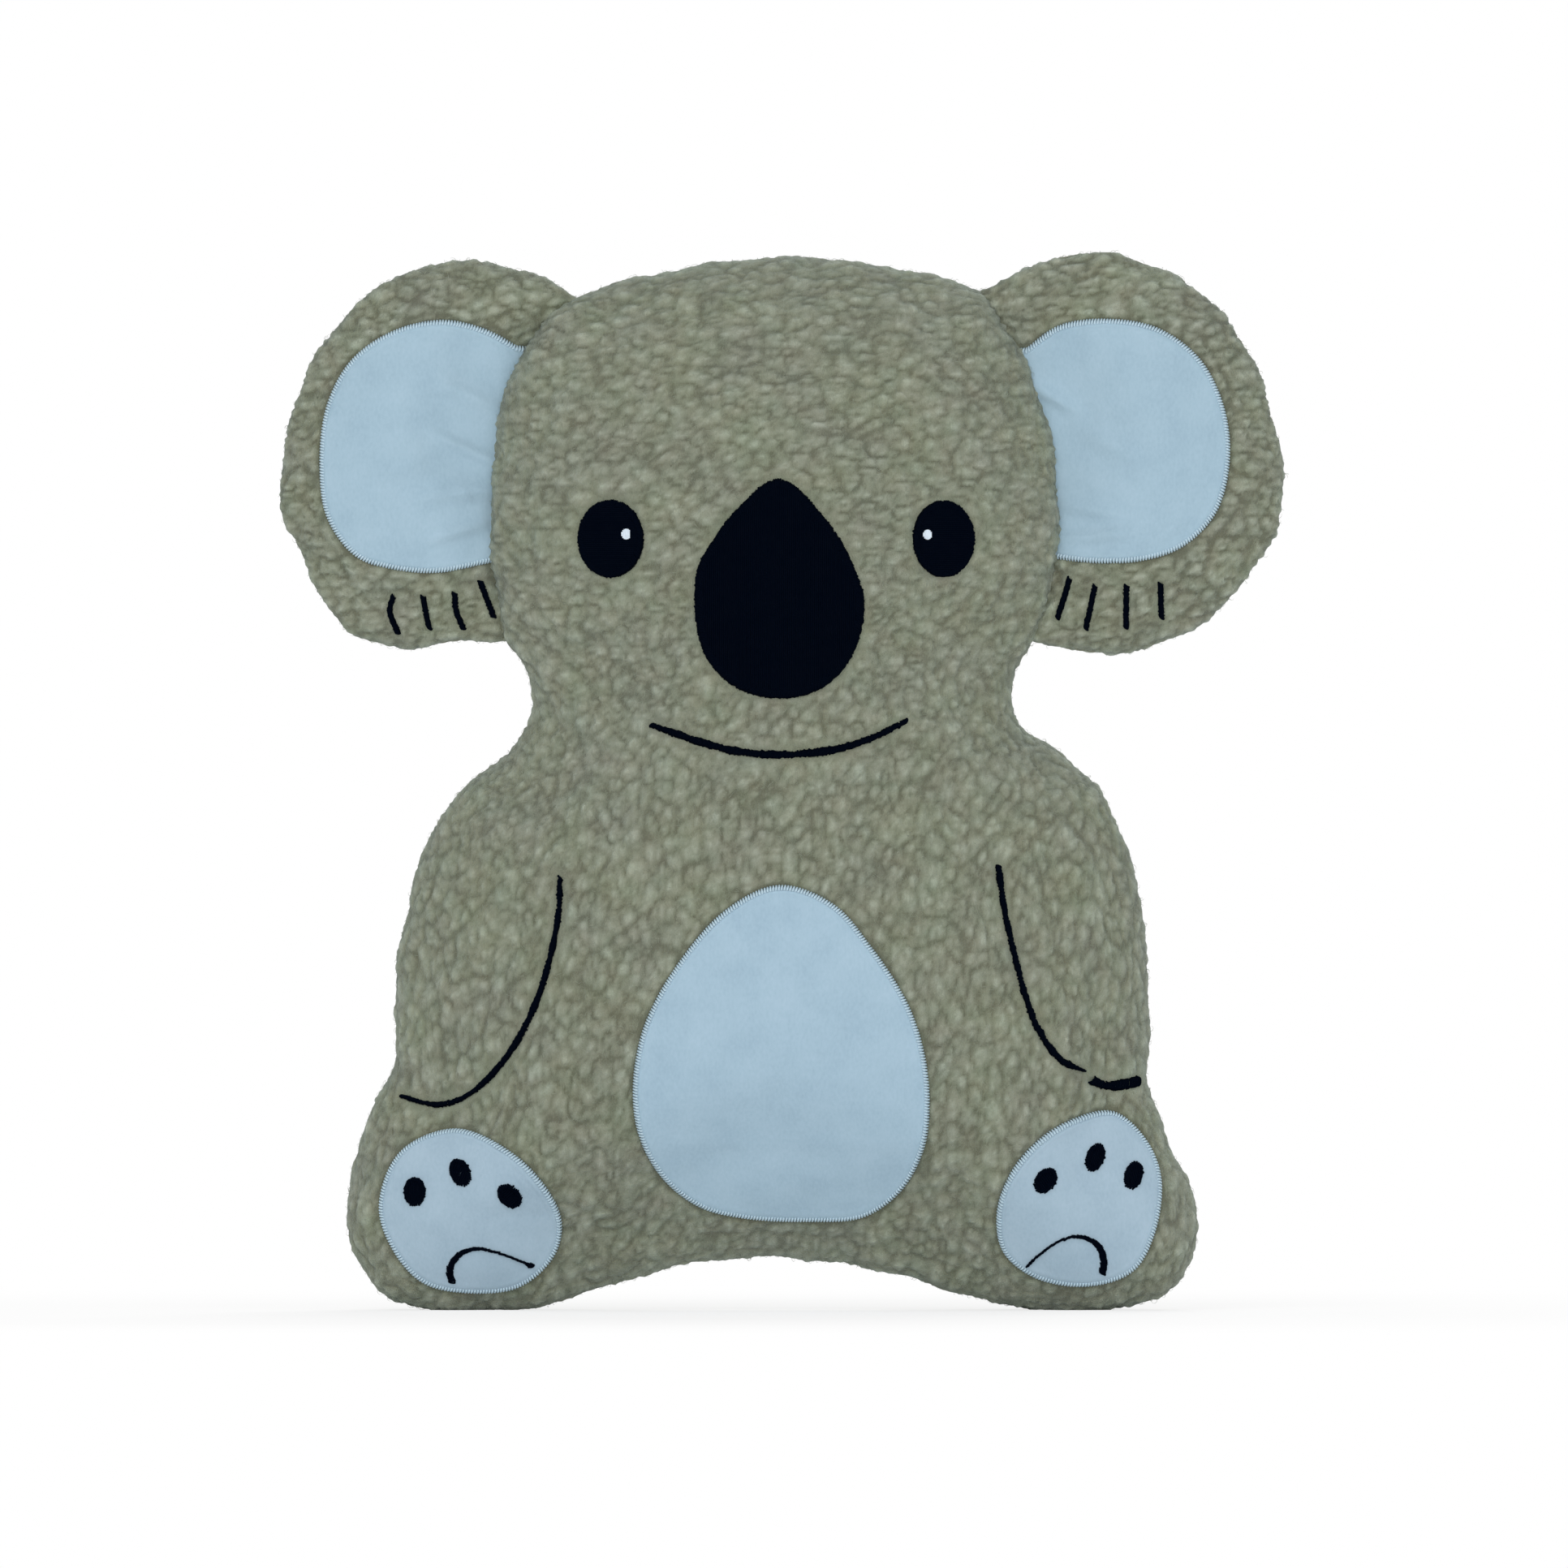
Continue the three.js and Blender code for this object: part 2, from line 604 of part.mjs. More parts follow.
function addEar(ear, body) {
  const group = new THREE.Group();
  const name = `${ear.side}_ear`;
  const form = earForm(body, ear);
  add(group, `${name}_front_panel`, panel(form, -1, earInnerShares, earSeamAllowance), 'fleece');
  add(group, `${name}_back_panel`, panel(form, 1, earInnerShares, earSeamAllowance), 'fleece');
  add(group, `${name}_filling`, filling(form, earInnerShares, earFillingEdgeShare), 'filling');
  add(group, `${name}_seam_thread`, seamThread(form), 'seamThread');

  const arc = evenPoints(ear.earPatchShares.map(place), patchStep, false);
  const insideRoot = insetLoop(form.rim, patchRootInset).slice(form.rootStart);
  const besideArc = insideRoot.filter(
    (p) => p.z < arc[0].z - patchStep / 2 && p.z > arc.at(-1).z + patchStep / 2,
  );
  const loop = [...arc, ...besideArc];
  const patch = plate(form, loop, form.middle, layGap, patchThickness, plateShares);
  add(group, `${name}_patch`, patch.geometry, 'patch');
  add(group, `${name}_patch_edge_stitching`, stitchBand(form, arc, false), 'patch');
  ear.tuftShares.forEach((shares, i) => {
    const tuft = threadLine(form, shares, tuftRadius, threadLineGap);
    add(group, `${name}_tuft_line_${i + 1}`, tuft, 'blackThread');
  });
  group.userData.hinge = earHinge(form);
  toy.add(group);
}

function addPatch(group, name, form, shares, middleShare) {
  const loop = evenPoints(shares.map(place), patchStep, true);
  const patch = plate(form, loop, place(middleShare), layGap, patchThickness, plateShares);
  add(group, name, patch.geometry, 'patch');
  add(group, `${name}_edge_stitching`, stitchBand(form, loop, true), 'patch');
  return patch.top;
}

function addEye(group, form, ear) {
  const points = 16;
  const middle = place(ear.eyeShare);
  const loop = ellipsePoints(middle, eyeWidth, eyeHeight, 0, points);
  const eye = plate(form, loop, middle, layGap, embroideryThickness, plateShares);
  add(group, `${ear.side}_eye`, eye.geometry, 'blackThread');
  const spot = place(ear.highlightShare);
  const spotLoop = ellipsePoints(spot, highlightWidth, highlightHeight, 0, points / 2);
  const highlight = plate(form, spotLoop, spot, eye.top + layGap, highlightThickness, toePlateShares);
  add(group, `${ear.side}_eye_highlight`, highlight.geometry, 'whiteThread');
}

function addFoot(group, form, foot) {
  const patchTop = addPatch(
    group, `${foot.side}_foot_patch`, form, foot.footPatchShares, foot.footMiddleShare,
  );
  const lift = patchTop + layGap;
  const toePoints = 10;
  foot.toeShares.forEach((share, i) => {
    const middle = place(share);
    const loop = ellipsePoints(middle, toeWidth, toeHeight, foot.toeTurns[i], toePoints);
    const toe = plate(form, loop, middle, lift, embroideryThickness, toePlateShares);
    add(group, `${foot.side}_toe_${i + 1}`, toe.geometry, 'blackThread');
  });
  const heel = threadLine(form, foot.heelShares, pawLineRadius, patchTop + threadLineGap);
  add(group, `${foot.side}_heel_line`, heel, 'blackThread');
}

function addBody() {
  const group = new THREE.Group();
  const form = bodyForm();
  const cover = (side) => cutLevelAtSoles(panel(form, side, bodyInnerShares, bodySeamAllowance));
  add(group, 'front_panel', cover(-1), 'fleece');
  add(group, 'back_panel', cover(1), 'fleece');
  add(group, 'body_filling', filling(form, bodyInnerShares, bodyFillingEdgeShare), 'filling');
  add(group, 'body_seam_thread', cutLevelAtSoles(seamThread(form)), 'seamThread');

  addPatch(group, 'belly_patch', form, bellyPatchShares, bellyMiddleShare);
  const noseLoop = evenPoints(noseShares.map(place), embroideryStep, true);
  const nose = plate(form, noseLoop, place(noseMiddleShare), layGap, embroideryThickness, plateShares);
  add(group, 'nose', nose.geometry, 'blackThread');
  const line = (shares) => threadLine(form, shares, threadLineRadius, threadLineGap);
  add(group, 'mouth_line', line(mouthShares), 'blackThread');
  add(group, 'left_arm_line', line(leftArmShares), 'blackThread');
  add(group, 'right_arm_line', line(rightArmShares), 'blackThread');
  add(group, 'right_paw_line', line(rightPawShares), 'blackThread');
  [left, right].forEach((half) => {
    addEye(group, form, half);
    addFoot(group, form, half);
  });
  toy.add(group);
  return form;
}

const body = addBody();
addEar(left, body);
addEar(right, body);

export default toy;
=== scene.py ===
# %% [markdown]
# # A flat koala toy of curly fleece
#
# The toy is a stuffed pillow: two panels of curly fleece sewn together round the edge, with
# two thinner ears sewn into the seam of the head. Smooth pale patches and dark embroidery lie
# on the front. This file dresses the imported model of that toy, piece by piece, in the model's
# own frame: metres, +Z up, the face looks along -Y, and +X is on the right in the front view.

# %% Load the frame
import json
import math

import bpy
import numpy as np
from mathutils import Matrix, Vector
from mathutils.bvhtree import BVHTree
from mathutils.kdtree import KDTree

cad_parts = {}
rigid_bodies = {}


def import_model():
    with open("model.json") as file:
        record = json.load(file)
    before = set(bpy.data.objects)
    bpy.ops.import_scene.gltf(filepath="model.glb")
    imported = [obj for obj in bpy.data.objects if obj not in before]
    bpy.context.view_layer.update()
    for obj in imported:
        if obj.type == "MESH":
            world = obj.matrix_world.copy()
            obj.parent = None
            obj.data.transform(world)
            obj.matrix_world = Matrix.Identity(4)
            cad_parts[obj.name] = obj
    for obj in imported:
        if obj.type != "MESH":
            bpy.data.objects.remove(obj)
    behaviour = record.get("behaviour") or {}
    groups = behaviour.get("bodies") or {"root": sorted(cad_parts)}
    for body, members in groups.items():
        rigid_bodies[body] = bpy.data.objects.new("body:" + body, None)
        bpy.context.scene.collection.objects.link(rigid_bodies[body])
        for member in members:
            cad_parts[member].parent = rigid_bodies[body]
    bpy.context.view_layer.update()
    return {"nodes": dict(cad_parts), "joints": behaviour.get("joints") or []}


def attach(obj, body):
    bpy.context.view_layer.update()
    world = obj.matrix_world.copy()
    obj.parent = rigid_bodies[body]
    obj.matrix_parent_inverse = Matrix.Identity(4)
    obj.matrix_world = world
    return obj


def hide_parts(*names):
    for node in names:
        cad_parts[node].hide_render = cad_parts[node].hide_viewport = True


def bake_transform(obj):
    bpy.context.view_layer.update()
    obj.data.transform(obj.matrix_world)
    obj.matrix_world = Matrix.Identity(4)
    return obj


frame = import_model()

MM = 0.001

# %% [markdown]
# ## Camera
#
# The photograph looks at the toy square on, from far enough away that nothing is distorted.
# A very long lens a long way off gives the same flat view, and what lies on the swollen front
# isn't drawn larger than the edge. How far away follows from the width of the picture at the
# toy, which is the picture's pixels times the size of one pixel there.

# %% Camera
photo_pixels = 1932
toy_pixels = 1242  # from ear tip to ear tip
toy_width = 247.5 * MM
picture_width = toy_width * photo_pixels / toy_pixels
picture_middle = Vector((0.2 * MM, 0, 129.1 * MM))
lens = 800  # on a sensor 36 wide

camera_data = bpy.data.cameras.new("camera")
camera_data.lens = lens
camera_data.sensor_width = 36
camera = bpy.data.objects.new("camera", camera_data)
camera_distance = picture_width * lens / camera_data.sensor_width
camera.location = picture_middle + Vector((0, -camera_distance, 0))
camera.rotation_euler = (math.pi / 2, 0, 0)
bpy.context.scene.collection.objects.link(camera)
bpy.context.scene.camera = camera
print("camera distance, m:", round(camera_distance, 2))

# %% [markdown]
# ## The pattern
#
# Everything on the toy follows a paper pattern: outlines drawn in the front view. Each outline
# is a short list of points as shares of the toy's width and height, and a smooth curve goes
# through them. A Catmull-Rom curve is used because it passes through its points, as a pencil
# line round pins does, where a Bezier curve would need handles that are harder to keep tidy.

# %% Places on the pattern
toy_height = 260 * MM
sole_depth = 0.5 * MM  # how far below the soles the pattern's zero lies


def place(shares):
    """Places in the front view, X and Z, from shares of the toy's width and height."""
    shares = np.asarray(shares, float)
    across = shares[..., 0] * toy_width
    up = shares[..., 1] * (toy_height + sole_depth) - sole_depth
    return np.stack([across, up], axis=-1)


# %% Even steps along a line
def even_steps(line, step, closed=False):
    """The same line with its points about a step apart."""
    along = np.concatenate([[0], np.cumsum(np.linalg.norm(np.diff(line, axis=0), axis=1))])
    count = max(2, round(along[-1] / step))
    wanted = np.linspace(0, along[-1], count + 1)
    if closed:
        wanted = wanted[:-1]
    return np.stack([np.interp(wanted, along, part) for part in line.T], axis=-1)


# %% Curves through points
curve_samples = 24  # between two points of the pattern


def smooth_line(points, step, closed=False):
    """Points about a step apart along a smooth curve through the given ones."""
    points = np.asarray(points, float)
    if closed:
        chain = np.vstack([points[-1:], points, points[:2]])
    else:
        chain = np.vstack([2 * points[0] - points[1], points, 2 * points[-1] - points[-2]])
    t = np.linspace(0, 1, curve_samples, endpoint=False)[:, None]
    fine = []
    for a, b, c, d in zip(chain, chain[1:], chain[2:], chain[3:]):
        ab, bc, cd = (np.linalg.norm(q - p) ** 0.5 for p, q in ((a, b), (b, c), (c, d)))
        leave = bc * ((b - a) / ab - (c - a) / (ab + bc)) + (c - b)
        arrive = bc * ((d - c) / cd - (d - b) / (bc + cd)) + (c - b)
        fine.append(
            (2 * t**3 - 3 * t**2 + 1) * b + (t**3 - 2 * t**2 + t) * leave
            + (3 * t**2 - 2 * t**3) * c + (t**3 - t**2) * arrive
        )
    end = chain[1] if closed else chain[-2]
    return even_steps(np.vstack([*fine, end]), step, closed)


# %% Directions into a loop
def inward(loop):
    """Unit directions that point into a closed loop, one for each of its points."""
    ahead = np.roll(loop, -1, axis=0) - np.roll(loop, 1, axis=0)
    ahead /= np.linalg.norm(ahead, axis=1)[:, None]
    area = np.sum(loop[:, 0] * np.roll(loop[:, 1], -1) - np.roll(loop[:, 0], -1) * loop[:, 1])
    return np.stack([-ahead[:, 1], ahead[:, 0]], axis=-1) * np.sign(area)


# %% [markdown]
# ## The body's outline
#
# Head, torso, arms and feet are one cut. The outline runs clockwise from the left ear, and its
# sections keep their own names, because the ears are sewn in along two of them, the creases.

# %% Body outline
head_top_shares = [
    [-0.203, 0.957], [-0.141, 0.976], [-0.076, 0.988], [0, 0.993], [0.076, 0.989],
    [0.141, 0.977],
]
right_crease_shares = [
    [0.193, 0.963], [0.221, 0.929], [0.247, 0.883], [0.267, 0.82], [0.274, 0.754],
    [0.268, 0.689], [0.246, 0.631],
]
right_side_shares = [
    [0.229, 0.603], [0.226, 0.574], [0.239, 0.552], [0.27, 0.53], [0.316, 0.487],
    [0.345, 0.429], [0.359, 0.357], [0.363, 0.28], [0.362, 0.223], [0.379, 0.166],
    [0.405, 0.114], [0.411, 0.07],
]
base_shares = [
    [0.392, 0.029], [0.35, 0.006], [0.302, 0], [0.254, 0], [0.189, 0.013], [0.093, 0.039],
    [-0.004, 0.05], [-0.093, 0.044], [-0.177, 0.023], [-0.262, 0.002], [-0.302, 0],
    [-0.342, 0], [-0.39, 0.013],
]
left_side_shares = [
    [-0.42, 0.043], [-0.433, 0.085], [-0.428, 0.131], [-0.407, 0.189], [-0.386, 0.238],
    [-0.385, 0.296], [-0.377, 0.364], [-0.355, 0.437], [-0.318, 0.491], [-0.267, 0.533],
    [-0.248, 0.567], [-0.254, 0.6],
]
left_crease_shares = [
    [-0.273, 0.632], [-0.287, 0.689], [-0.291, 0.754], [-0.287, 0.816], [-0.271, 0.883],
    [-0.242, 0.93], [-0.203, 0.957],
]
outline_step = 2.5 * MM
body_outline = smooth_line(place(
    head_top_shares + right_crease_shares + right_side_shares + base_shares
    + left_side_shares + left_crease_shares[:-1]
), outline_step, closed=True)
print("body outline:", len(body_outline), "points")

# %% [markdown]
# ## The stuffed form
#
# A stuffed panel is thick in the middle of a wide place and thin near its seam. One number
# gives that: how far a point is from the outline, softened so that the far side of a narrow
# place such as the neck counts too. Half the thickness is a power of that distance. Modelling
# the swelling by hand with sculpt brushes would work as well, but then the embroidery could
# not be placed by sums.
#
# The skin is made of rings that shrink from the outline to the middle, front and back, and a
# voxel remesh turns these into small even faces, which the curls of the fleece need.

# %% Softened distance from an outline
def soft_distance(places, outline):
    """Distance from an outline, where each piece of it pulls by the inverse cube."""
    after = np.roll(outline, -1, axis=0)
    length = np.linalg.norm(after - outline, axis=1)
    distance = np.empty(len(places))
    chunk = 2000  # places worked out at a time, which keeps the arrays small
    for start in range(0, len(places), chunk):
        p = places[start:start + chunk, None]
        to_a, to_b = outline - p, after - p
        a, b = np.linalg.norm(to_a, axis=2), np.linalg.norm(to_b, axis=2)
        dot = np.sum(to_a * to_b, axis=2)
        pull = np.sum(length * (a + b) / (a * b * (a * b + dot)), axis=1)
        distance[start:start + chunk] = np.sqrt(2 / pull)
    return distance


# %% Pieces and skins over rings
def make_piece(name, points, faces):
    """A new mesh object in the scene."""
    mesh = bpy.data.meshes.new(name)
    mesh.from_pydata(np.asarray(points).tolist(), [], [list(map(int, f)) for f in faces])
    mesh.update()
    piece = bpy.data.objects.new(name, mesh)
    bpy.context.scene.collection.objects.link(piece)
    return piece


def skin_rings(rings, start, end):
    """Points and faces of a closed skin over rings, with a point at each end."""
    count = len(rings[0])
    points = np.vstack([*rings, start, end])
    faces = []
    i = np.arange(count)
    j = (i + 1) % count
    for r in range(len(rings) - 1):
        low, high = r * count, (r + 1) * count
        faces += np.stack([low + i, low + j, high + j, high + i], axis=1).tolist()
    first, last = len(points) - 2, len(points) - 1
    top = (len(rings) - 1) * count
    faces += np.stack([np.full(count, first), j, i], axis=1).tolist()
    faces += np.stack([np.full(count, last), top + i, top + j], axis=1).tolist()
    return points, faces


# %% Pillow
puff_power = 0.45
ring_count = 44


def pillow(name, outline, middle, puff, reach):
    """A closed stuffed form, lens-shaped in section, on an outline."""
    shares = 1 - np.linspace(0, 1, ring_count, endpoint=False)[1:] ** 2
    flat = [middle + (outline - middle) * share for share in shares]

    def half_thickness(places):
        """How thick the form is in front of these places, and as much again behind them."""
        return puff * (soft_distance(places, outline) / reach) ** puff_power

    def lift(places, side, thickness):
        """Places of the front view as points in space, in front, side -1, or behind, side 1."""
        return np.stack([places[:, 0], side * thickness, places[:, 1]], axis=-1)

    heights = [half_thickness(ring) for ring in flat]
    crown = half_thickness(middle[None])
    front = [lift(ring, -1, h) for ring, h in zip(flat, heights)]
    back = [lift(ring, 1, h) for ring, h in zip(flat, heights)]
    edge = lift(outline, 0, np.zeros(len(outline)))
    rings = front[::-1] + [edge] + back
    points, faces = skin_rings(
        rings, lift(middle[None], -1, crown), lift(middle[None], 1, crown)
    )
    return make_piece(name, points, faces)


# %% Reading, setting and remeshing a piece
def points_of(piece):
    """The places of a piece's points."""
    flat = np.empty(3 * len(piece.data.vertices))
    piece.data.vertices.foreach_get("co", flat)
    return flat.reshape(-1, 3)


def set_points(piece, points):
    """Moves a piece's points to new places."""
    piece.data.vertices.foreach_set("co", np.asarray(points).ravel())
    piece.data.update()


def applied(piece):
    """The piece with its modifiers applied and none left on it."""
    graph = bpy.context.evaluated_depsgraph_get()
    mesh = bpy.data.meshes.new_from_object(piece.evaluated_get(graph), depsgraph=graph)
    piece.modifiers.clear()
    old, piece.data = piece.data, mesh
    bpy.data.meshes.remove(old)
    return piece


def remeshed(piece, voxel):
    """The same closed form with even faces, each about a voxel wide."""
    even = piece.modifiers.new("even", "REMESH")
    even.mode = "VOXEL"
    even.voxel_size = voxel
    return applied(piece)


# %% Body form
body_middle = place([0, 0.464])
body_puff = 27 * MM
body_puff_reach = 38 * MM
fine_voxel = 0.85 * MM
body_form = remeshed(
    pillow("body_form", body_outline, body_middle, body_puff, body_puff_reach), fine_voxel
)
print("body form:", len(body_form.data.vertices), "points, mm:",
      [round(x / MM, 1) for x in body_form.dimensions])

# %% [markdown]
# ## Filling it
#
# Real filling presses the cloth outwards from inside, so it wrinkles a little where it is held
# by the seam. Blender's cloth does the same. A coarse copy of the form starts a little thinner
# than the toy, is held at the seam, has slightly more cloth than it needs, and is blown up for
# twenty frames. The fine form then takes over how far the coarse one moved. Simulating the
# fine form itself would take far longer and would fold at the size of its faces.

# %% Nearest points
def tree_of(points):
    """A tree that finds the nearest of some points quickly."""
    tree = KDTree(len(points))
    for i, p in enumerate(points):
        tree.insert(p, i)
    tree.balance()
    return tree


def near(points, others):
    """Distance from each point to the nearest of the others."""
    tree = tree_of(others)
    return np.array([tree.find(p)[2] for p in points])


def edge_points(outline):
    """Places in the front view as points in space, in the plane of the seam."""
    return np.stack([outline[:, 0], np.zeros(len(outline)), outline[:, 1]], axis=-1)


# %% Moves handed from the coarse form to the fine one
neighbours = 6


def carried(points, coarse, moves):
    """Moves for fine points, blended from those of the nearest coarse ones."""
    tree = tree_of(coarse)
    blended = np.empty_like(points)
    for i, p in enumerate(points):
        found = tree.find_n(p, neighbours + 1)
        reach = found[-1][2]
        weights = np.array([(1 - f[2] / reach) ** 2 for f in found[:-1]])
        blended[i] = weights @ moves[[f[1] for f in found[:-1]]] / weights.sum()
    return blended


def smoothed(moves, mesh, rounds):
    """Moves of a mesh's points, evened out with those of their neighbours."""
    edges = np.empty(2 * len(mesh.edges), int)
    mesh.edges.foreach_get("vertices", edges)
    ends = np.vstack([edges.reshape(-1, 2), edges.reshape(-1, 2)[:, ::-1]])
    count = np.bincount(ends[:, 0], minlength=len(moves))[:, None]
    for _ in range(rounds):
        total = np.zeros_like(moves)
        np.add.at(total, ends[:, 0], moves[ends[:, 1]])
        moves = (moves + total / count) / 2
    return moves


# %% Cloth under pressure
start_thickness_share = 0.93
pressure = 4
frames = 20
cloth_mass = 0.05
smoothing_rounds = 3


def filled(form, outline, voxel, slack, cap):
    """Blows the form up with simulated cloth, held at its seam."""
    start = points_of(form)
    start[:, 1] *= start_thickness_share
    set_points(form, start)
    coarse = form.copy()
    coarse.data = form.data.copy()
    bpy.context.scene.collection.objects.link(coarse)
    remeshed(coarse, voxel)
    before = points_of(coarse)
    held = coarse.vertex_groups.new(name="held")
    held.add([int(i) for i in np.flatnonzero(near(before, edge_points(outline)) < voxel)], 1, "ADD")
    cloth = coarse.modifiers.new("cloth", "CLOTH")
    cloth.settings.vertex_group_mass = "held"
    cloth.settings.use_pressure = True
    cloth.settings.uniform_pressure_force = pressure
    cloth.settings.shrink_min = -slack
    cloth.settings.mass = cloth_mass
    cloth.settings.tension_stiffness = 40
    cloth.settings.compression_stiffness = 40
    cloth.settings.shear_stiffness = 20
    cloth.settings.bending_stiffness = 12
    cloth.settings.effector_weights.gravity = 0
    for number in range(1, frames + 1):
        bpy.context.scene.frame_set(number)
    applied(coarse)
    bpy.context.scene.frame_set(1)
    moves = smoothed(points_of(coarse) - before, coarse.data, smoothing_rounds)
    size = np.linalg.norm(moves, axis=1)
    moves *= np.minimum(1, cap / np.maximum(size, cap / 1000))[:, None]
    print(form.name, "moved, mm: mean", round(size.mean() / MM, 2), "most", round(size.max() / MM, 2))
    bpy.data.objects.remove(coarse)
    set_points(form, start + carried(start, before, moves))


# %% Filled body
filled(body_form, body_outline, voxel=5 * MM, slack=0.012, cap=5 * MM)
print("filled body, mm:", [round(x / MM, 1) for x in body_form.dimensions])

# %% [markdown]
# ## The ears
#
# Each ear is a thinner pillow whose inner edge, its root, is caught in the seam of the head.
# The free edge is a curve of its own, and the root follows the crease of the body's outline,
# a little way inside it, as cloth caught in a seam does. That also closes the joint to light.

# %% Ear outlines
ear_sides = {
    "left": {
        "crease": left_crease_shares[::-1],
        "middle": [-0.374, 0.856],
        "edge": [
            [-0.229, 0.972], [-0.27, 0.986], [-0.314, 0.992], [-0.362, 0.985],
            [-0.411, 0.959], [-0.452, 0.919], [-0.482, 0.864], [-0.498, 0.808],
            [-0.498, 0.753], [-0.478, 0.71], [-0.457, 0.669], [-0.427, 0.637],
            [-0.374, 0.624], [-0.322, 0.63],
        ],
        "patch": [
            [-0.265, 0.909], [-0.294, 0.924], [-0.338, 0.933], [-0.386, 0.923],
            [-0.427, 0.896], [-0.451, 0.854], [-0.458, 0.8], [-0.451, 0.749],
            [-0.423, 0.713], [-0.386, 0.701], [-0.342, 0.698], [-0.297, 0.706],
        ],
    },
    "right": {
        "crease": right_crease_shares,
        "middle": [0.366, 0.84],
        "edge": [
            [0.224, 0.975], [0.27, 0.995], [0.318, 1], [0.37, 0.986], [0.423, 0.954],
            [0.46, 0.911], [0.484, 0.854], [0.498, 0.789], [0.492, 0.741], [0.467, 0.702],
            [0.443, 0.67], [0.4, 0.639], [0.342, 0.62], [0.29, 0.621],
        ],
        "patch": [
            [0.242, 0.907], [0.274, 0.928], [0.322, 0.934], [0.37, 0.926], [0.411, 0.898],
            [0.435, 0.854], [0.441, 0.803], [0.428, 0.754], [0.395, 0.722], [0.354, 0.709],
            [0.31, 0.707], [0.279, 0.71],
        ],
    },
}

# %% Ear forms
ear_puff = 9.5 * MM
ear_puff_reach = 20 * MM
tongue = 4 * MM  # how far an ear's root reaches in under the head


def across(line):
    """Unit directions square to an open line, on the side away from the toy's middle."""
    ahead = np.gradient(line, axis=0)
    ahead /= np.linalg.norm(ahead, axis=1)[:, None]
    square = np.stack([-ahead[:, 1], ahead[:, 0]], axis=-1)
    away = np.sign(np.sum(square * (line - body_middle), axis=1))
    return square * away[:, None]


for ear in ear_sides.values():
    ear["crease"] = smooth_line(place(ear["crease"]), outline_step)
    ear["middle"] = place(ear["middle"])
    root = ear["crease"] - across(ear["crease"]) * tongue
    free = smooth_line(
        np.vstack([ear["crease"][:1], place(ear["edge"]), ear["crease"][-1:]]), outline_step
    )
    ear["outline"] = np.vstack([free, root[::-1]])
    ear["form"] = remeshed(
        pillow("ear_form", ear["outline"], ear["middle"], ear_puff, ear_puff_reach), fine_voxel
    )
    filled(ear["form"], ear["outline"], voxel=3.5 * MM, slack=0.02, cap=2 * MM)
    print("ear form, mm:", [round(x / MM, 1) for x in ear["form"].dimensions])

# %% [markdown]
# ## The head swells over the ears
#
# Seen from the front, the head's fleece comes forward over the root of each ear and hides the
# seam. So the side of the head beside a crease is pushed out a little, most a few
# millimetres from the seam, and not at all at the crease's ends.

# %% Swell over the creases
def smooth_step(low, high, values):
    """0 below the low value, 1 above the high one, and a smooth rise between."""
    t = np.clip((values - low) / (high - low), 0, 1)
    return t * t * (3 - 2 * t)


swell_reach = 4.5 * MM
swell_limit = 3 * swell_reach
swell_share = 0.5
swell_end = 9 * MM  # length over which the swelling fades at each end of a crease


def swell_over(points, crease):
    """Points of the body beside a crease, pushed out over the ear."""
    away = across(crease)
    run = np.linalg.norm(crease - crease[0], axis=1)
    rest = np.linalg.norm(crease - crease[-1], axis=1)
    fade = smooth_step(0, swell_end, run) * smooth_step(0, swell_end, rest)
    tree = tree_of(edge_points(crease))
    moved = points.copy()
    for k in np.flatnonzero(np.abs(points[:, 0]) > np.abs(crease[:, 0]).min() - swell_limit):
        x, _, z = points[k]
        _, i, distance = tree.find((x, 0, z))
        if distance < swell_limit:
            push = swell_share * distance * math.exp(-(distance / swell_reach) ** 2) * fade[i]
            moved[k, 0] += away[i, 0] * push
            moved[k, 2] += away[i, 1] * push
    return moved


for side_name, ear in ear_sides.items():
    before = points_of(body_form)
    set_points(body_form, swell_over(before, ear["crease"]))
    most = np.linalg.norm(points_of(body_form) - before, axis=1).max()
    print(side_name, "crease, swollen by up to, mm:", round(most / MM, 1))

# %% [markdown]
# ## Laying things on the front
#
# Patches and threads lie on the stuffed forms as they are now, wrinkles and all. A ray shot
# from the front finds the place and the slope of the form under each point. Blender's
# Shrinkwrap modifier does the same for a whole mesh, but here every thread needs it.

# %% Rays onto a form
def surface_of(form):
    """A form's faces, ready to be hit by rays."""
    graph = bpy.context.evaluated_depsgraph_get()
    return BVHTree.FromObject(form, graph)


def lay(surface, places, rise):
    """Points over a form's front, each a rise above it and square to its face, with its slopes."""
    places = np.asarray(places)
    rise = np.broadcast_to(rise, places.shape[:-1]).ravel()
    points, normals = [], []
    for (x, z), height in zip(places.reshape(-1, 2), rise):
        hit, normal, _, _ = surface.ray_cast(Vector((x, -1, z)), Vector((0, 1, 0)))
        if hit is None:
            hit, normal = Vector((x, 0, z)), Vector((0, -1, 0))
        points.append(hit + normal * height)
        normals.append(normal)
    shape = (*places.shape[:-1], 3)
    return np.array(points).reshape(shape), np.array(normals).reshape(shape)


body_surface = surface_of(body_form)
for ear in ear_sides.values():
    ear["surface"] = surface_of(ear["form"])
crown, _ = lay(body_surface, body_middle[None], 0)
print("front of the torso, mm before the seam:", round(-crown[0, 1] / MM, 1))

# %% [markdown]
# ## Shapes of the patches and the embroidery
#
# The rest of the pattern: the belly patch, the foot patches with their marks, the face, the
# arms, and the tufts under the ears. The fleece needs them first, because it is pressed flat
# under a patch and pulled in round a row of stitches.

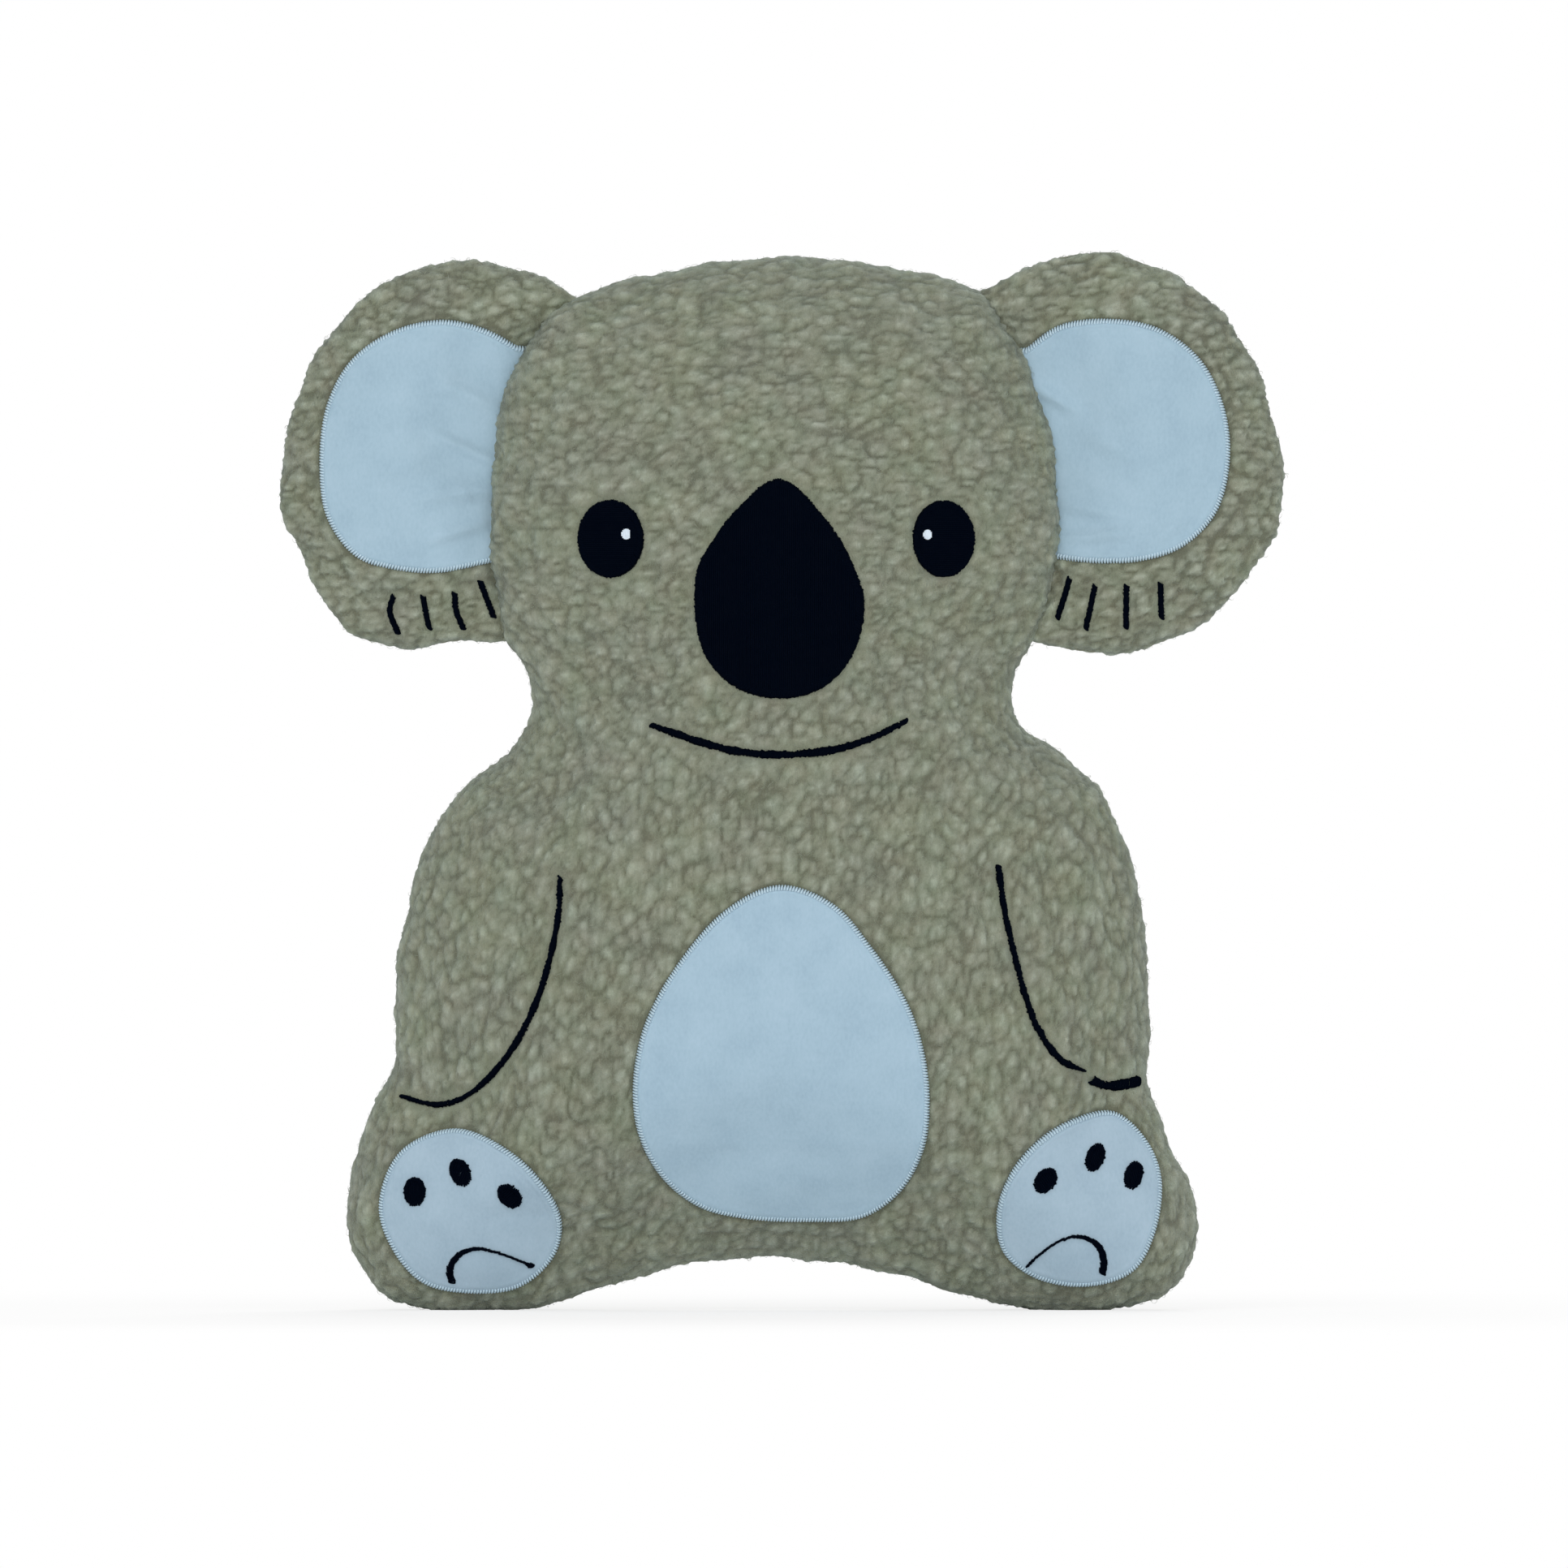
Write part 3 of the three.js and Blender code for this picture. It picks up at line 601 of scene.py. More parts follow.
# %% Outlines of the patches and the nose
loop_step = 1.2 * MM
belly_patch = smooth_line(place([
    [-0.004, 0.401], [-0.056, 0.378], [-0.105, 0.325], [-0.137, 0.267], [-0.147, 0.208],
    [-0.139, 0.161], [-0.115, 0.124], [-0.081, 0.1], [-0.038, 0.09], [0.023, 0.087],
    [0.079, 0.091], [0.116, 0.116], [0.138, 0.156], [0.143, 0.199], [0.138, 0.244],
    [0.122, 0.29], [0.085, 0.345], [0.048, 0.384],
]), loop_step, closed=True)
belly_middle = place([-0.004, 0.227])

foot_patches = {
    "left": smooth_line(place([
        [-0.324, 0.172], [-0.378, 0.151], [-0.399, 0.101], [-0.387, 0.062], [-0.358, 0.03],
        [-0.318, 0.02], [-0.262, 0.025], [-0.228, 0.054], [-0.221, 0.085], [-0.236, 0.117],
        [-0.27, 0.15],
    ]), loop_step, closed=True),
    "right": smooth_line(place([
        [0.327, 0.188], [0.357, 0.164], [0.373, 0.127], [0.367, 0.076], [0.346, 0.04],
        [0.302, 0.026], [0.25, 0.034], [0.219, 0.058], [0.213, 0.093], [0.225, 0.129],
        [0.254, 0.162], [0.29, 0.182],
    ]), loop_step, closed=True),
}
foot_middles = {"left": place([-0.31, 0.095]), "right": place([0.294, 0.106])}
print("belly patch, mm:", np.round(np.ptp(belly_patch, axis=0) / MM, 1))

nose_loop = smooth_line(place([
    [-0.004, 0.784], [-0.043, 0.758], [-0.068, 0.728], [-0.084, 0.701], [-0.087, 0.659],
    [-0.076, 0.617], [-0.048, 0.589], [0, 0.578], [0.04, 0.589], [0.068, 0.618],
    [0.08, 0.667], [0.068, 0.705], [0.046, 0.741],
]), 1 * MM, closed=True)
print("nose, mm:", np.round(np.ptp(nose_loop, axis=0) / MM, 1))


def oval(middle, width, height, degrees=0, step=0.5 * MM):
    """A closed oval, turned anticlockwise."""
    turns = np.linspace(0, 2 * math.pi, 73)
    lean = math.radians(degrees)
    flat = np.stack([np.cos(turns) * width / 2, np.sin(turns) * height / 2], axis=-1)
    turned = flat @ np.array([[math.cos(lean), math.sin(lean)], [-math.sin(lean), math.cos(lean)]])
    return even_steps(middle + turned, step, closed=True)


# %% Face and toes
eye_middles = {"left": place([-0.171, 0.728]), "right": place([0.159, 0.728])}
eye_size = {"left": (16 * MM, 18.8 * MM), "right": (15 * MM, 18.6 * MM)}
spot_middles = {"left": place([-0.1545, 0.7325]), "right": place([0.142, 0.732])}
toe_middles = {
    "left": place([[-0.364, 0.114], [-0.319, 0.132], [-0.271, 0.111]]),
    "right": place([[0.259, 0.125], [0.308, 0.146], [0.346, 0.129]]),
}
toe_turns = {"left": [0, 25, 50], "right": [-35, -20, -15]}
toe_sizes = {
    "left": [(5.2 * MM, 7 * MM), (4.8 * MM, 6.8 * MM), (4.9 * MM, 6.5 * MM)],
    "right": [(4.9 * MM, 6.6 * MM), (4.4 * MM, 7 * MM), (4.3 * MM, 6.8 * MM)],
}
between_eyes = np.linalg.norm(eye_middles["right"] - eye_middles["left"])
print("eyes, mm apart:", round(between_eyes / MM, 1))

# %% Stitched lines
line_patterns = {
    "mouth_line": [
        [-0.13, 0.553], [-0.085, 0.538], [-0.044, 0.528], [-0.004, 0.525], [0.052, 0.53],
        [0.093, 0.543], [0.122, 0.557],
    ],
    "left_arm_line": [
        [-0.221, 0.41], [-0.222, 0.38], [-0.229, 0.341], [-0.243, 0.296], [-0.264, 0.255],
        [-0.288, 0.225], [-0.312, 0.205], [-0.338, 0.196], [-0.358, 0.198], [-0.378, 0.204],
    ],
    "right_arm_line": [
        [0.213, 0.42], [0.219, 0.38], [0.228, 0.341], [0.24, 0.298], [0.252, 0.268],
        [0.272, 0.241], [0.282, 0.234], [0.298, 0.228],
    ],
    "right_paw_line": [
        [0.306, 0.219], [0.313, 0.2155], [0.3235, 0.2138], [0.335, 0.2142], [0.345, 0.216],
        [0.3525, 0.2182],
    ],
}
print("lines on the body:", len(line_patterns))

# %% Heels and tufts
heel_patterns = {
    "left": [
        [-0.328, 0.03], [-0.33, 0.042], [-0.323, 0.053], [-0.314, 0.059], [-0.298, 0.061],
        [-0.278, 0.056], [-0.249, 0.045],
    ],
    "right": [
        [0.316, 0.038], [0.317, 0.051], [0.312, 0.063], [0.296, 0.072], [0.277, 0.07],
        [0.258, 0.059], [0.242, 0.045],
    ],
}
tuft_patterns = {
    "left": [
        [[-0.386, 0.674], [-0.39, 0.66], [-0.382, 0.64]],
        [[-0.357, 0.674], [-0.351, 0.644]],
        [[-0.326, 0.677], [-0.324, 0.66], [-0.317, 0.644]],
        [[-0.3, 0.688], [-0.287, 0.655]],
    ],
    "right": [
        [[0.284, 0.691], [0.272, 0.654]],
        [[0.309, 0.684], [0.3, 0.644]],
        [[0.34, 0.684], [0.34, 0.645]],
        [[0.374, 0.686], [0.375, 0.654]],
    ],
}
print("tufts on each ear:", len(tuft_patterns["left"]))

# %% Smooth curves of the patches and lines
patch_tuck = 2.6 * MM  # how far an ear's patch reaches in under the head
for ear in ear_sides.values():
    arc = smooth_line(place(ear["patch"]), loop_step)
    tucked = even_steps(ear["crease"] - across(ear["crease"]) * patch_tuck, loop_step)
    beside = tucked[(tucked[:, 1] < arc[0, 1]) & (tucked[:, 1] > arc[-1, 1])]
    ear["patch_loop"] = np.vstack([arc, beside[::-1]])
    ear["stitched"] = np.vstack([beside[:1], arc, beside[-1:]])
stitch_pitch = 0.42 * MM
body_lines = {
    name: smooth_line(place(shares), stitch_pitch) for name, shares in line_patterns.items()
}
tuft_lines = {
    side: [smooth_line(place(shares), stitch_pitch) for shares in patterns]
    for side, patterns in tuft_patterns.items()
}
print("lines, mm long:", {n: round(len(x) * stitch_pitch / MM) for n, x in body_lines.items()})

# %% [markdown]
# ## Curls of fleece
#
# The pile is a crowd of small curls, four or five millimetres across, with narrow creases
# between them. Cells round scattered points look just like that. They could come from a
# Voronoi texture in a Displace modifier, but then the painted shade could not follow the creases.
# Here the same sum moves the mesh and is kept on it, as two attributes that the material
# reads: how high each point stands in its curl, which it turns into painted shade in the creases
# and painted light on the curl tops, and which shade of colour the whole curl has.

# %% Scattered cells
def wander(points, length, seed):
    """A slow, smooth shift of places, up to about 1 each way."""
    source = np.random.default_rng(seed)
    shift = np.zeros_like(points)
    for _ in range(5):
        way = source.normal(size=3)
        way *= 2 * math.pi / (length * np.linalg.norm(way))
        shift += np.sin(points @ way + source.uniform(0, 6))[:, None] * source.normal(size=3) * 0.35
    return shift


closest = 0.62  # distance between two scattered points, as a share of their size


def sown(points, size, seed):
    """Some of the points, scattered about a size apart all over the form."""
    order = np.random.default_rng(seed).permutation(len(points))
    boxes = np.floor(points[order] / size).astype(int)
    _, first = np.unique(boxes, axis=0, return_index=True)
    seeds = points[order[first]]
    tree = tree_of(seeds)
    crowded = set()
    for i, p in enumerate(seeds):
        if i not in crowded:
            crowded.update(j for _, j, _ in tree.find_range(p, closest * size) if j != i)
    return np.delete(seeds, sorted(crowded), axis=0)


golden = 0.618034  # spreads whole numbers evenly between 0 and 1
bending = 0.32  # how far cells are bent out of shape, as a share of their size
bend_length = 3.2  # from one bend to the next, also of their size


def cells_on(points, size, seed):
    """For each point: how far inside its cell it is, 0 at a border, its cell's shade from 0
    to 1, and a number from 0 to 1 for the border beside it."""
    bent = points + bending * size * wander(points, bend_length * size, seed)
    tree = tree_of(sown(bent, size, seed))
    cells = np.empty((len(bent), 3))
    for k, p in enumerate(bent):
        (_, i, nearest), (_, j, second) = tree.find_n(p, 2)
        cells[k] = (second - nearest) / size, i * golden % 1, (i + j) * golden % 1
    return cells.T


# %% [markdown]
# ## The lie of the curls
#
# On the head the curls lie across, in rows, and on the torso they hang down. So the places are
# stretched before the cells are made, one way above the neck and the other way below it, with
# a smooth change between. Three sizes of cell are laid over each other: the curls, smaller
# nubs that make them knobbly, and a few long partings where the pile has opened.

# %% Curls
curl_size = 3.9 * MM
nub_size = 2.2 * MM
parting_size = 14 * MM
crease_width = 0.6  # of a curl's size
parting_width = 0.12  # of a parting's size
parting_depth = 0.9
nub_share = 0.45
neck_height = 150 * MM
neck_blend = 26 * MM


def brushed(points):
    """Places stretched so that curls lie across the head and hang down the torso."""
    above = (points[:, 2] - neck_height) / neck_blend
    stretched = points.copy()
    stretched[:, :2] *= 0.86 - 0.14 * np.tanh(above)[:, None]
    stretched[:, 2] += 0.3 * neck_blend * np.log(np.cosh(above))
    return stretched


def curls(points):
    """Height in the pile, from 0 in a crease to 1 on a curl, and each curl's shade."""
    places = brushed(points)
    border, shade, gap = cells_on(places, curl_size, seed=11)
    nub_border, nub_shade, _ = cells_on(places, nub_size, seed=23)
    parting_border, _, parted = cells_on(brushed(places), parting_size, seed=37)
    crease = 1 - (0.3 + 0.7 * gap) * (1 - smooth_step(0, crease_width, border))
    parting = parting_depth * parted * (1 - smooth_step(0, parting_width, parting_border))
    crease *= 1 - parting
    dome = crease * (0.6 + 0.4 * smooth_step(0.1, 0.9, border)) * (0.75 + 0.25 * shade)
    nubs = smooth_step(0, 0.6, nub_border) * (0.5 + 0.5 * nub_shade) * (0.5 + 0.5 * crease)
    return (1 - nub_share) * dome + nub_share * nubs, shade


# %% [markdown]
# ## Fleece pressed down and pulled in
#
# Under a patch the pile lies flat, and round a row of stitches it is drawn in and shows fewer
# curls. For every point of the fleece the distance to each outline says how much of the pile
# is left there, how deep it is drawn in, and how much shadow is painted on it beside a patch.

# %% How far into an outline
def inside(places, loop):
    """Which places lie inside a closed loop."""
    a, b = loop, np.roll(loop, -1, axis=0)
    x, z = places[:, :1], places[:, 1:]
    spans = (a[:, 1] > z) != (b[:, 1] > z)
    drop = np.where(b[:, 1] == a[:, 1], 1e-12, b[:, 1] - a[:, 1])
    at = a[:, 0] + (z - a[:, 1]) * (b[:, 0] - a[:, 0]) / drop
    return np.sum(spans & (x < at), axis=1) % 2 == 1


def depth_into(places, line, closed, half_width=0.0):
    """How far places lie inside a loop or a line's width; below 0 is outside."""
    fine = even_steps(np.vstack([line, line[:1]]) if closed else line, 0.4 * MM)
    tree = tree_of(edge_points(fine))
    distance = np.array([tree.find((x, 0, z))[2] for x, z in places])
    if closed:
        return np.where(inside(places, line), distance, -distance)
    return half_width - distance


# %% Where the pile is pressed
line_width = 1.5 * MM
tuft_width = 1.1 * MM
# shadow is painted shade: how far the pile's tone falls where it meets a patch.
shadow = 0.35  # how far the pile's tone falls where it meets a patch
under_patch = (1.3 * MM, 0.9 * MM, shadow)  # reach, depth and fall in tone
under_fill = (2.6 * MM, 0.5 * MM, 0)
under_line = (2.2 * MM, 0.45 * MM, 0)
under_tuft = (1.6 * MM, 0.4 * MM, 0)
pressed_on_body = (
    [(loop, True, 0, *under_patch) for loop in (belly_patch, *foot_patches.values())]
    + [(nose_loop, True, 0, *under_fill)]
    + [(oval(eye_middles[s], *eye_size[s]), True, 0, *under_fill) for s in eye_middles]
    + [(line, False, line_width / 2, *under_line) for line in body_lines.values()]
)
print("places where the body's pile is pressed:", len(pressed_on_body))


def pressed(points, laid):
    """How much of the pile is left at each point, how deep it is drawn in, and its painted shadow."""
    left, drawn, shade = np.ones(len(points)), np.zeros(len(points)), np.zeros(len(points))
    for line, closed, half_width, reach, depth, painted_shadow_fall in laid:
        low, high = line.min(0) - 2 * reach, line.max(0) + 2 * reach
        flat = points[:, [0, 2]]
        close = np.flatnonzero(
            (points[:, 1] < 0) & np.all((flat > low) & (flat < high), axis=1)
        )
        into = depth_into(flat[close], line, closed, half_width)
        left[close] = np.minimum(left[close], 1 - smooth_step(-reach, 0, into))
        drawn[close] = np.maximum(drawn[close], depth * smooth_step(-0.8 * reach, 0.6 * MM, into))
        # Painted shadow on the pile beside a patch, falling away from its edge.
        shade[close] = np.maximum(shade[close], painted_shadow_fall * smooth_step(-1.6 * reach, 0, into))
    return left, drawn, shade


# %% [markdown]
# ## Fleece
#
# The pile now moves the forms' own points, along their slopes: up on a curl, down in a crease
# or under a patch. Slow lumps of the filling are added, and a groove round the edge where the
# seam pulls the cloth in. The front and the back are then cut apart at the seam, as they are
# two panels of the real toy.

# %% Fleece on a form
curl_height = 1.15 * MM
lump_height = 0.6 * MM
lump_size = 15 * MM
groove_depth = 0.9 * MM
groove_width = 1.1 * MM
groove_reach = 3 * MM
edge_calm = 0.3  # share of the curls' height that is lost at the seam
calm_from = 8 * MM  # where the curls begin to lose height, measured from the seam
calm_to = 2 * MM
ear_relief = 1.25  # the ears' curls stand out more than the body's
unpressed = 0.6  # share of the pile that is left where loose fibres can grow


def fleece(form, outline, laid, relief=1):
    """Places with curls, the two attributes for the material, slopes, and where fibres grow."""
    points = points_of(form)
    normals = np.empty(len(points) * 3)
    form.data.vertices.foreach_get("normal", normals)
    normals = normals.reshape(-1, 3)
    height, shade = curls(points)
    height = height.mean() + relief * (height - height.mean())
    pile_mean = float(height.mean())
    print("pile height, mean and spread:", round(pile_mean, 2), round(float(height.std()), 2))
    left, drawn, painted_shadow_there = pressed(points, laid)
    from_seam = near(points, edge_points(outline))
    groove = groove_depth * np.exp(-(points[:, 1] / groove_width) ** 2)
    groove *= from_seam < groove_reach
    combed = 1 - edge_calm * (1 - smooth_step(calm_to, calm_from, from_seam))
    lumps = lump_height * wander(points, lump_size, 53)[:, 0]
    lift = (curl_height * (height - pile_mean) * combed + lumps) * left - drawn - groove
    moved = points + normals * lift[:, None]
    moved[:, 2] = np.maximum(moved[:, 2], 0)
    # The pile attribute carries painted shade: the height, which the material darkens in the creases,
    # less the shadow painted beside a patch.
    height = pile_mean + (height - pile_mean) * left - painted_shadow_there
    return moved, {"pile": height, "shade": shade}, normals, left > unpressed


# %% Front and back panels
def half_piece(name, form, points, attributes, side):
    """The front, side -1, or the back, side 1, of a form as a piece of its own."""
    corners = np.empty(len(form.data.loops), int)
    form.data.loops.foreach_get("vertex_index", corners)
    faces = corners.reshape(-1, 4)
    kept = faces[points[faces][:, :, 1].mean(axis=1) * side > 0]
    used, index = np.unique(kept, return_inverse=True)
    piece = make_piece(name, points[used], index.reshape(-1, 4))
    for title, values in attributes.items():
        layer = piece.data.attributes.new(title, "FLOAT", "POINT")
        layer.data.foreach_set("value", values[used].astype(np.float32))
    piece.data.shade_smooth()
    print(name, "faces:", len(piece.data.polygons))
    return piece


halves = {"front": -1, "back": 1}
forms = {"": body_form}
pile = {"": fleece(body_form, body_outline, pressed_on_body)}
for side_name, ear in ear_sides.items():
    laid = [(ear["patch_loop"], True, 0, *under_patch)] + [
        (line, False, tuft_width / 2, *under_tuft) for line in tuft_lines[side_name]
    ]
    forms[f"{side_name}_ear_"] = ear["form"]
    pile[f"{side_name}_ear_"] = fleece(ear["form"], ear["outline"], laid, ear_relief)
fleece_pieces = {}
for part, form in forms.items():
    for half, side in halves.items():
        name = f"{part}{half}_fleece"
        fleece_pieces[name] = half_piece(name, form, *pile[part][:2], side)

# %% [markdown]
# ## Colours
#
# A material's colour is written as the photograph's own red, green and blue, and turned into
# the light values that Blender's shaders use.

# %% Colours
def colour(red, green, blue):
    """Light values for a colour as a picture stores it, 0 to 255."""
    parts = [c / 255 for c in (red, green, blue)]
    return [c / 12.92 if c < 0.04045 else ((c + 0.055) / 1.055) ** 2.4 for c in parts] + [1]


# %% [markdown]
# ## Fleece material
#
# The creases get painted shade, darker than the curls, whose tops get painted light; each curl
# has its own shade of colour, and the fibres make a fine mottle. The height attribute gives the
# first, with the painted shadow beside the patches, the shade attribute the second and noise the
# third, and a ramp turns their sum into colours. A little sheen stands for the fuzz that catches
# light at the edges, and a fine bump for the fibres.

# %% A new material
def new_material(name):
    """A material with its nodes, links and main shader."""
    material = bpy.data.materials.new(name)
    material.use_nodes = True
    tree = material.node_tree
    return material, tree.nodes, tree.links, tree.nodes["Principled BSDF"]


# %% Noise and colours
def noise(nodes, links, size, detail, source):
    """Noise whose features are about that many metres across."""
    node = nodes.new("ShaderNodeTexNoise")
    node.inputs["Scale"].default_value = 1 / size
    node.inputs["Detail"].default_value = detail
    links.new(source, node.inputs["Vector"])
    return node.outputs["Fac"]


def ramp(nodes, links, source, *stops):
    """Colours along a value, as (value, colour) stops."""
    node = nodes.new("ShaderNodeValToRGB")
    links.new(source, node.inputs["Fac"])
    elements = node.color_ramp.elements
    while len(elements) < len(stops):
        elements.new(0.5)
    for element, (at, shade_colour) in zip(elements, stops):
        element.position = at
        element.color = shade_colour
    return node.outputs["Color"]


# %% Sums, places and relief
def maths(nodes, links, operation, *values):
    """One Math node of two or three values, each a socket or a number."""
    node = nodes.new("ShaderNodeMath")
    node.operation = operation
    for socket, value in zip(node.inputs, values):
        if isinstance(value, (int, float)):
            socket.default_value = value
        else:
            links.new(value, socket)
    return node.outputs[0]


def bumped(nodes, links, shader, height_source, strength, distance):
    """Small relief on the surface, up to about a distance high."""
    bump = nodes.new("ShaderNodeBump")
    bump.inputs["Strength"].default_value = strength
    bump.inputs["Distance"].default_value = distance
    links.new(height_source, bump.inputs["Height"])
    links.new(bump.outputs["Normal"], shader.inputs["Normal"])


def attribute(nodes, name):
    """A number that the mesh keeps for each of its points."""
    node = nodes.new("ShaderNodeAttribute")
    node.attribute_name = name
    return node.outputs["Fac"]


def object_place(nodes):
    """The place on the piece, in its own metres."""
    return nodes.new("ShaderNodeTexCoord").outputs["Object"]


# %% Fibres of the fleece
def tangled_wool(nodes, links, source):
    """Fine relief of the fibres: strongly bent waves over a fine noise."""
    fibres = nodes.new("ShaderNodeTexWave")
    fibres.inputs["Scale"].default_value = 1 / (2.4 * MM)
    fibres.inputs["Distortion"].default_value = 14
    fibres.inputs["Detail"].default_value = 3
    fibres.inputs["Detail Scale"].default_value = 2.2
    fibres.inputs["Detail Roughness"].default_value = 0.6
    links.new(source, fibres.inputs["Vector"])
    tufts = noise(nodes, links, 0.9 * MM, 5, source)
    return maths(nodes, links, "MULTIPLY_ADD", fibres.outputs["Fac"], 0.4, tufts)


# %% Fleece material
def fleece_material():
    """Painted shade in the creases, painted light on the curls, mottled, and slightly uneven in hue.
    """
    material, nodes, links, shader = new_material("curly_fleece")
    source = object_place(nodes)
    wool = tangled_wool(nodes, links, source)
    blotches = noise(nodes, links, 14 * MM, 2, source)
    tone = attribute(nodes, "pile")
    for value, share, shift in (
        (wool, 0.24, -0.17), (attribute(nodes, "shade"), 0.16, -0.08), (blotches, 0.2, -0.1)
    ):
        step = maths(nodes, links, "MULTIPLY_ADD", value, share, shift)
        tone = maths(nodes, links, "ADD", tone, step)
    # The ramp paints shade: darkest in the creases and beside the patches, lightest on the curl tops.
    colours = ramp(
        nodes, links, tone,
        (0.05, colour(101, 104, 86)), (0.3, colour(123, 128, 109)),
        (0.6, colour(139, 145, 127)), (0.95, colour(157, 164, 147)),
    )
    dyed = nodes.new("ShaderNodeHueSaturation")
    tint = noise(nodes, links, 6 * MM, 2, source)
    hue = maths(nodes, links, "MULTIPLY_ADD", tint, -0.1, 0.545)
    strength = maths(nodes, links, "MULTIPLY_ADD", blotches, 0.6, 0.67)
    links.new(hue, dyed.inputs["Hue"])
    links.new(strength, dyed.inputs["Saturation"])
    links.new(colours, dyed.inputs["Color"])
    links.new(dyed.outputs["Color"], shader.inputs["Base Color"])
    shader.inputs["Roughness"].default_value = 0.95
    shader.inputs["Specular IOR Level"].default_value = 0.15
    shader.inputs["Sheen Weight"].default_value = 0.35
    shader.inputs["Sheen Roughness"].default_value = 0.5
    shader.inputs["Sheen Tint"].default_value = colour(215, 235, 238)
    bumped(nodes, links, shader, wool, 0.8, 0.4 * MM)
    return material


fleece_look = fleece_material()
for piece in fleece_pieces.values():
    piece.data.materials.append(fleece_look)
print(fleece_look.name, "nodes:", len(fleece_look.node_tree.nodes))

# %% [markdown]
# ## Smooth patches
#
# Each patch is short, smooth plush cloth with its edge turned under. It lies on the pressed
# fleece as a thin cushion: rings that shrink to its middle, rolled down at the edge, with the
# raised line of the hem just inside and a few soft puckers where the cloth below it draws.

# %% Closed shells
def shell(name, points, faces):
    """A piece from closed skins, turned so that its faces look outwards."""
    a, b, c = (np.array([points[f[k]] for f in faces]) for k in (0, 1, 2))
    last = np.array([points[f[-1]] for f in faces])
    volume = np.sum(a * np.cross(b, c)) + np.sum(a * np.cross(c, last))
    if volume < 0:
        faces = [f[::-1] for f in faces]
    piece = make_piece(name, points, faces)
    piece.data.shade_smooth()
    return piece


# %% Puckers
def pucker_rise(places, puckers):
    """Rise of soft ridges, each from one place to another, with a width and a height."""
    rise = np.zeros(len(places))
    for start, end, width, height in puckers:
        start, end = place(start), place(end)
        along = (end - start) / np.linalg.norm(end - start)
        offset = places - start
        run = offset @ along / np.linalg.norm(end - start)
        aside = offset @ np.array([-along[1], along[0]])
        rise += height * np.exp(-(aside / width) ** 2) * smooth_step(-0.3, 0.3, run) * (
            1 - smooth_step(0.6, 1.3, run)
        )
    return rise


# %% Patch shape
patch_rise = 0.55 * MM
patch_roll = 0.8 * MM
patch_sink = 0.6 * MM  # how far its underside lies in the pressed pile
patch_edge_sink = 0.1 * MM
patch_unevenness = 0.07 * MM
hem_place = 1.5 * MM
hem_width = 0.5 * MM
hem_rise = 0.16 * MM
patch_rings = 34
ring_power = 1.7  # above 1, rings lie closer together towards the edge


def patch(name, surface, loop, middle, puckers=()):
    """A smooth patch laid on a form."""
    shares = 1 - np.linspace(0, 1, patch_rings, endpoint=False)[1:] ** ring_power
    flat = [middle + (loop - middle) * share for share in shares]
    places = np.vstack(flat)
    into = depth_into(places, loop, True)
    roll = np.sqrt(np.clip(1 - (1 - np.clip(into / patch_roll, 0, 1)) ** 2, 0, 1))
    hem = hem_rise * np.exp(-((into - hem_place) / hem_width) ** 2)
    soft = patch_unevenness * wander(edge_points(places), 13 * MM, 5)[:, 0]
    top = patch_rise * roll + hem + soft + pucker_rise(places, puckers)
    count = len(loop)
    upper, _ = lay(surface, places, top)
    under, _ = lay(surface, places, -patch_sink)
    edge, _ = lay(surface, loop, -patch_edge_sink)
    crown, _ = lay(surface, middle[None], patch_rise)
    floor, _ = lay(surface, middle[None], -patch_sink)
    upper = [upper[r * count:(r + 1) * count] for r in range(len(flat))]
    under = [under[r * count:(r + 1) * count] for r in range(len(flat))]
    return shell(name, *skin_rings(upper[::-1] + [edge] + under, crown, floor))


# %% All patches
ear_puckers = {
    "left": [
        ([-0.285, 0.80], [-0.345, 0.825], 1.6 * MM, 1.7 * MM),
        ([-0.285, 0.775], [-0.36, 0.768], 1.7 * MM, 1.7 * MM),
        ([-0.295, 0.745], [-0.35, 0.728], 1.5 * MM, 1.5 * MM),
        ([-0.285, 0.85], [-0.35, 0.88], 2.2 * MM, 1.3 * MM),
        ([-0.36, 0.80], [-0.40, 0.79], 2.4 * MM, 1.1 * MM),
    ],
    "right": [
        ([0.247, 0.875], [0.29, 0.85], 1.7 * MM, 1.5 * MM),
        ([0.28, 0.76], [0.33, 0.752], 1.7 * MM, 1.3 * MM),
        ([0.28, 0.727], [0.35, 0.735], 1.6 * MM, 1.3 * MM),
        ([0.3, 0.83], [0.36, 0.8], 2.6 * MM, 1 * MM),
        ([0.36, 0.72], [0.40, 0.75], 1.8 * MM, 0.9 * MM),
    ],
}
patches = {"belly_patch": patch("belly_smooth_patch", body_surface, belly_patch, belly_middle)}
for side_name, ear in ear_sides.items():
    patches[f"{side_name}_foot_patch"] = patch(
        f"{side_name}_foot_smooth_patch", body_surface, foot_patches[side_name],
        foot_middles[side_name],
    )
    patches[f"{side_name}_ear_patch"] = patch(
        f"{side_name}_ear_smooth_patch", ear["surface"], ear["patch_loop"], ear["middle"],
        ear_puckers[side_name],
    )
print("patches:", {n: len(p.data.polygons) for n, p in patches.items()})

# %% [markdown]
# ## Patch material
#
# Short plush looks almost plain from a step away. Close to, it has a faint nap that runs one
# way and small clouds where the pile has been brushed. Stretched noise gives the nap and wide
# noise the clouds, and the same nap is the bump.

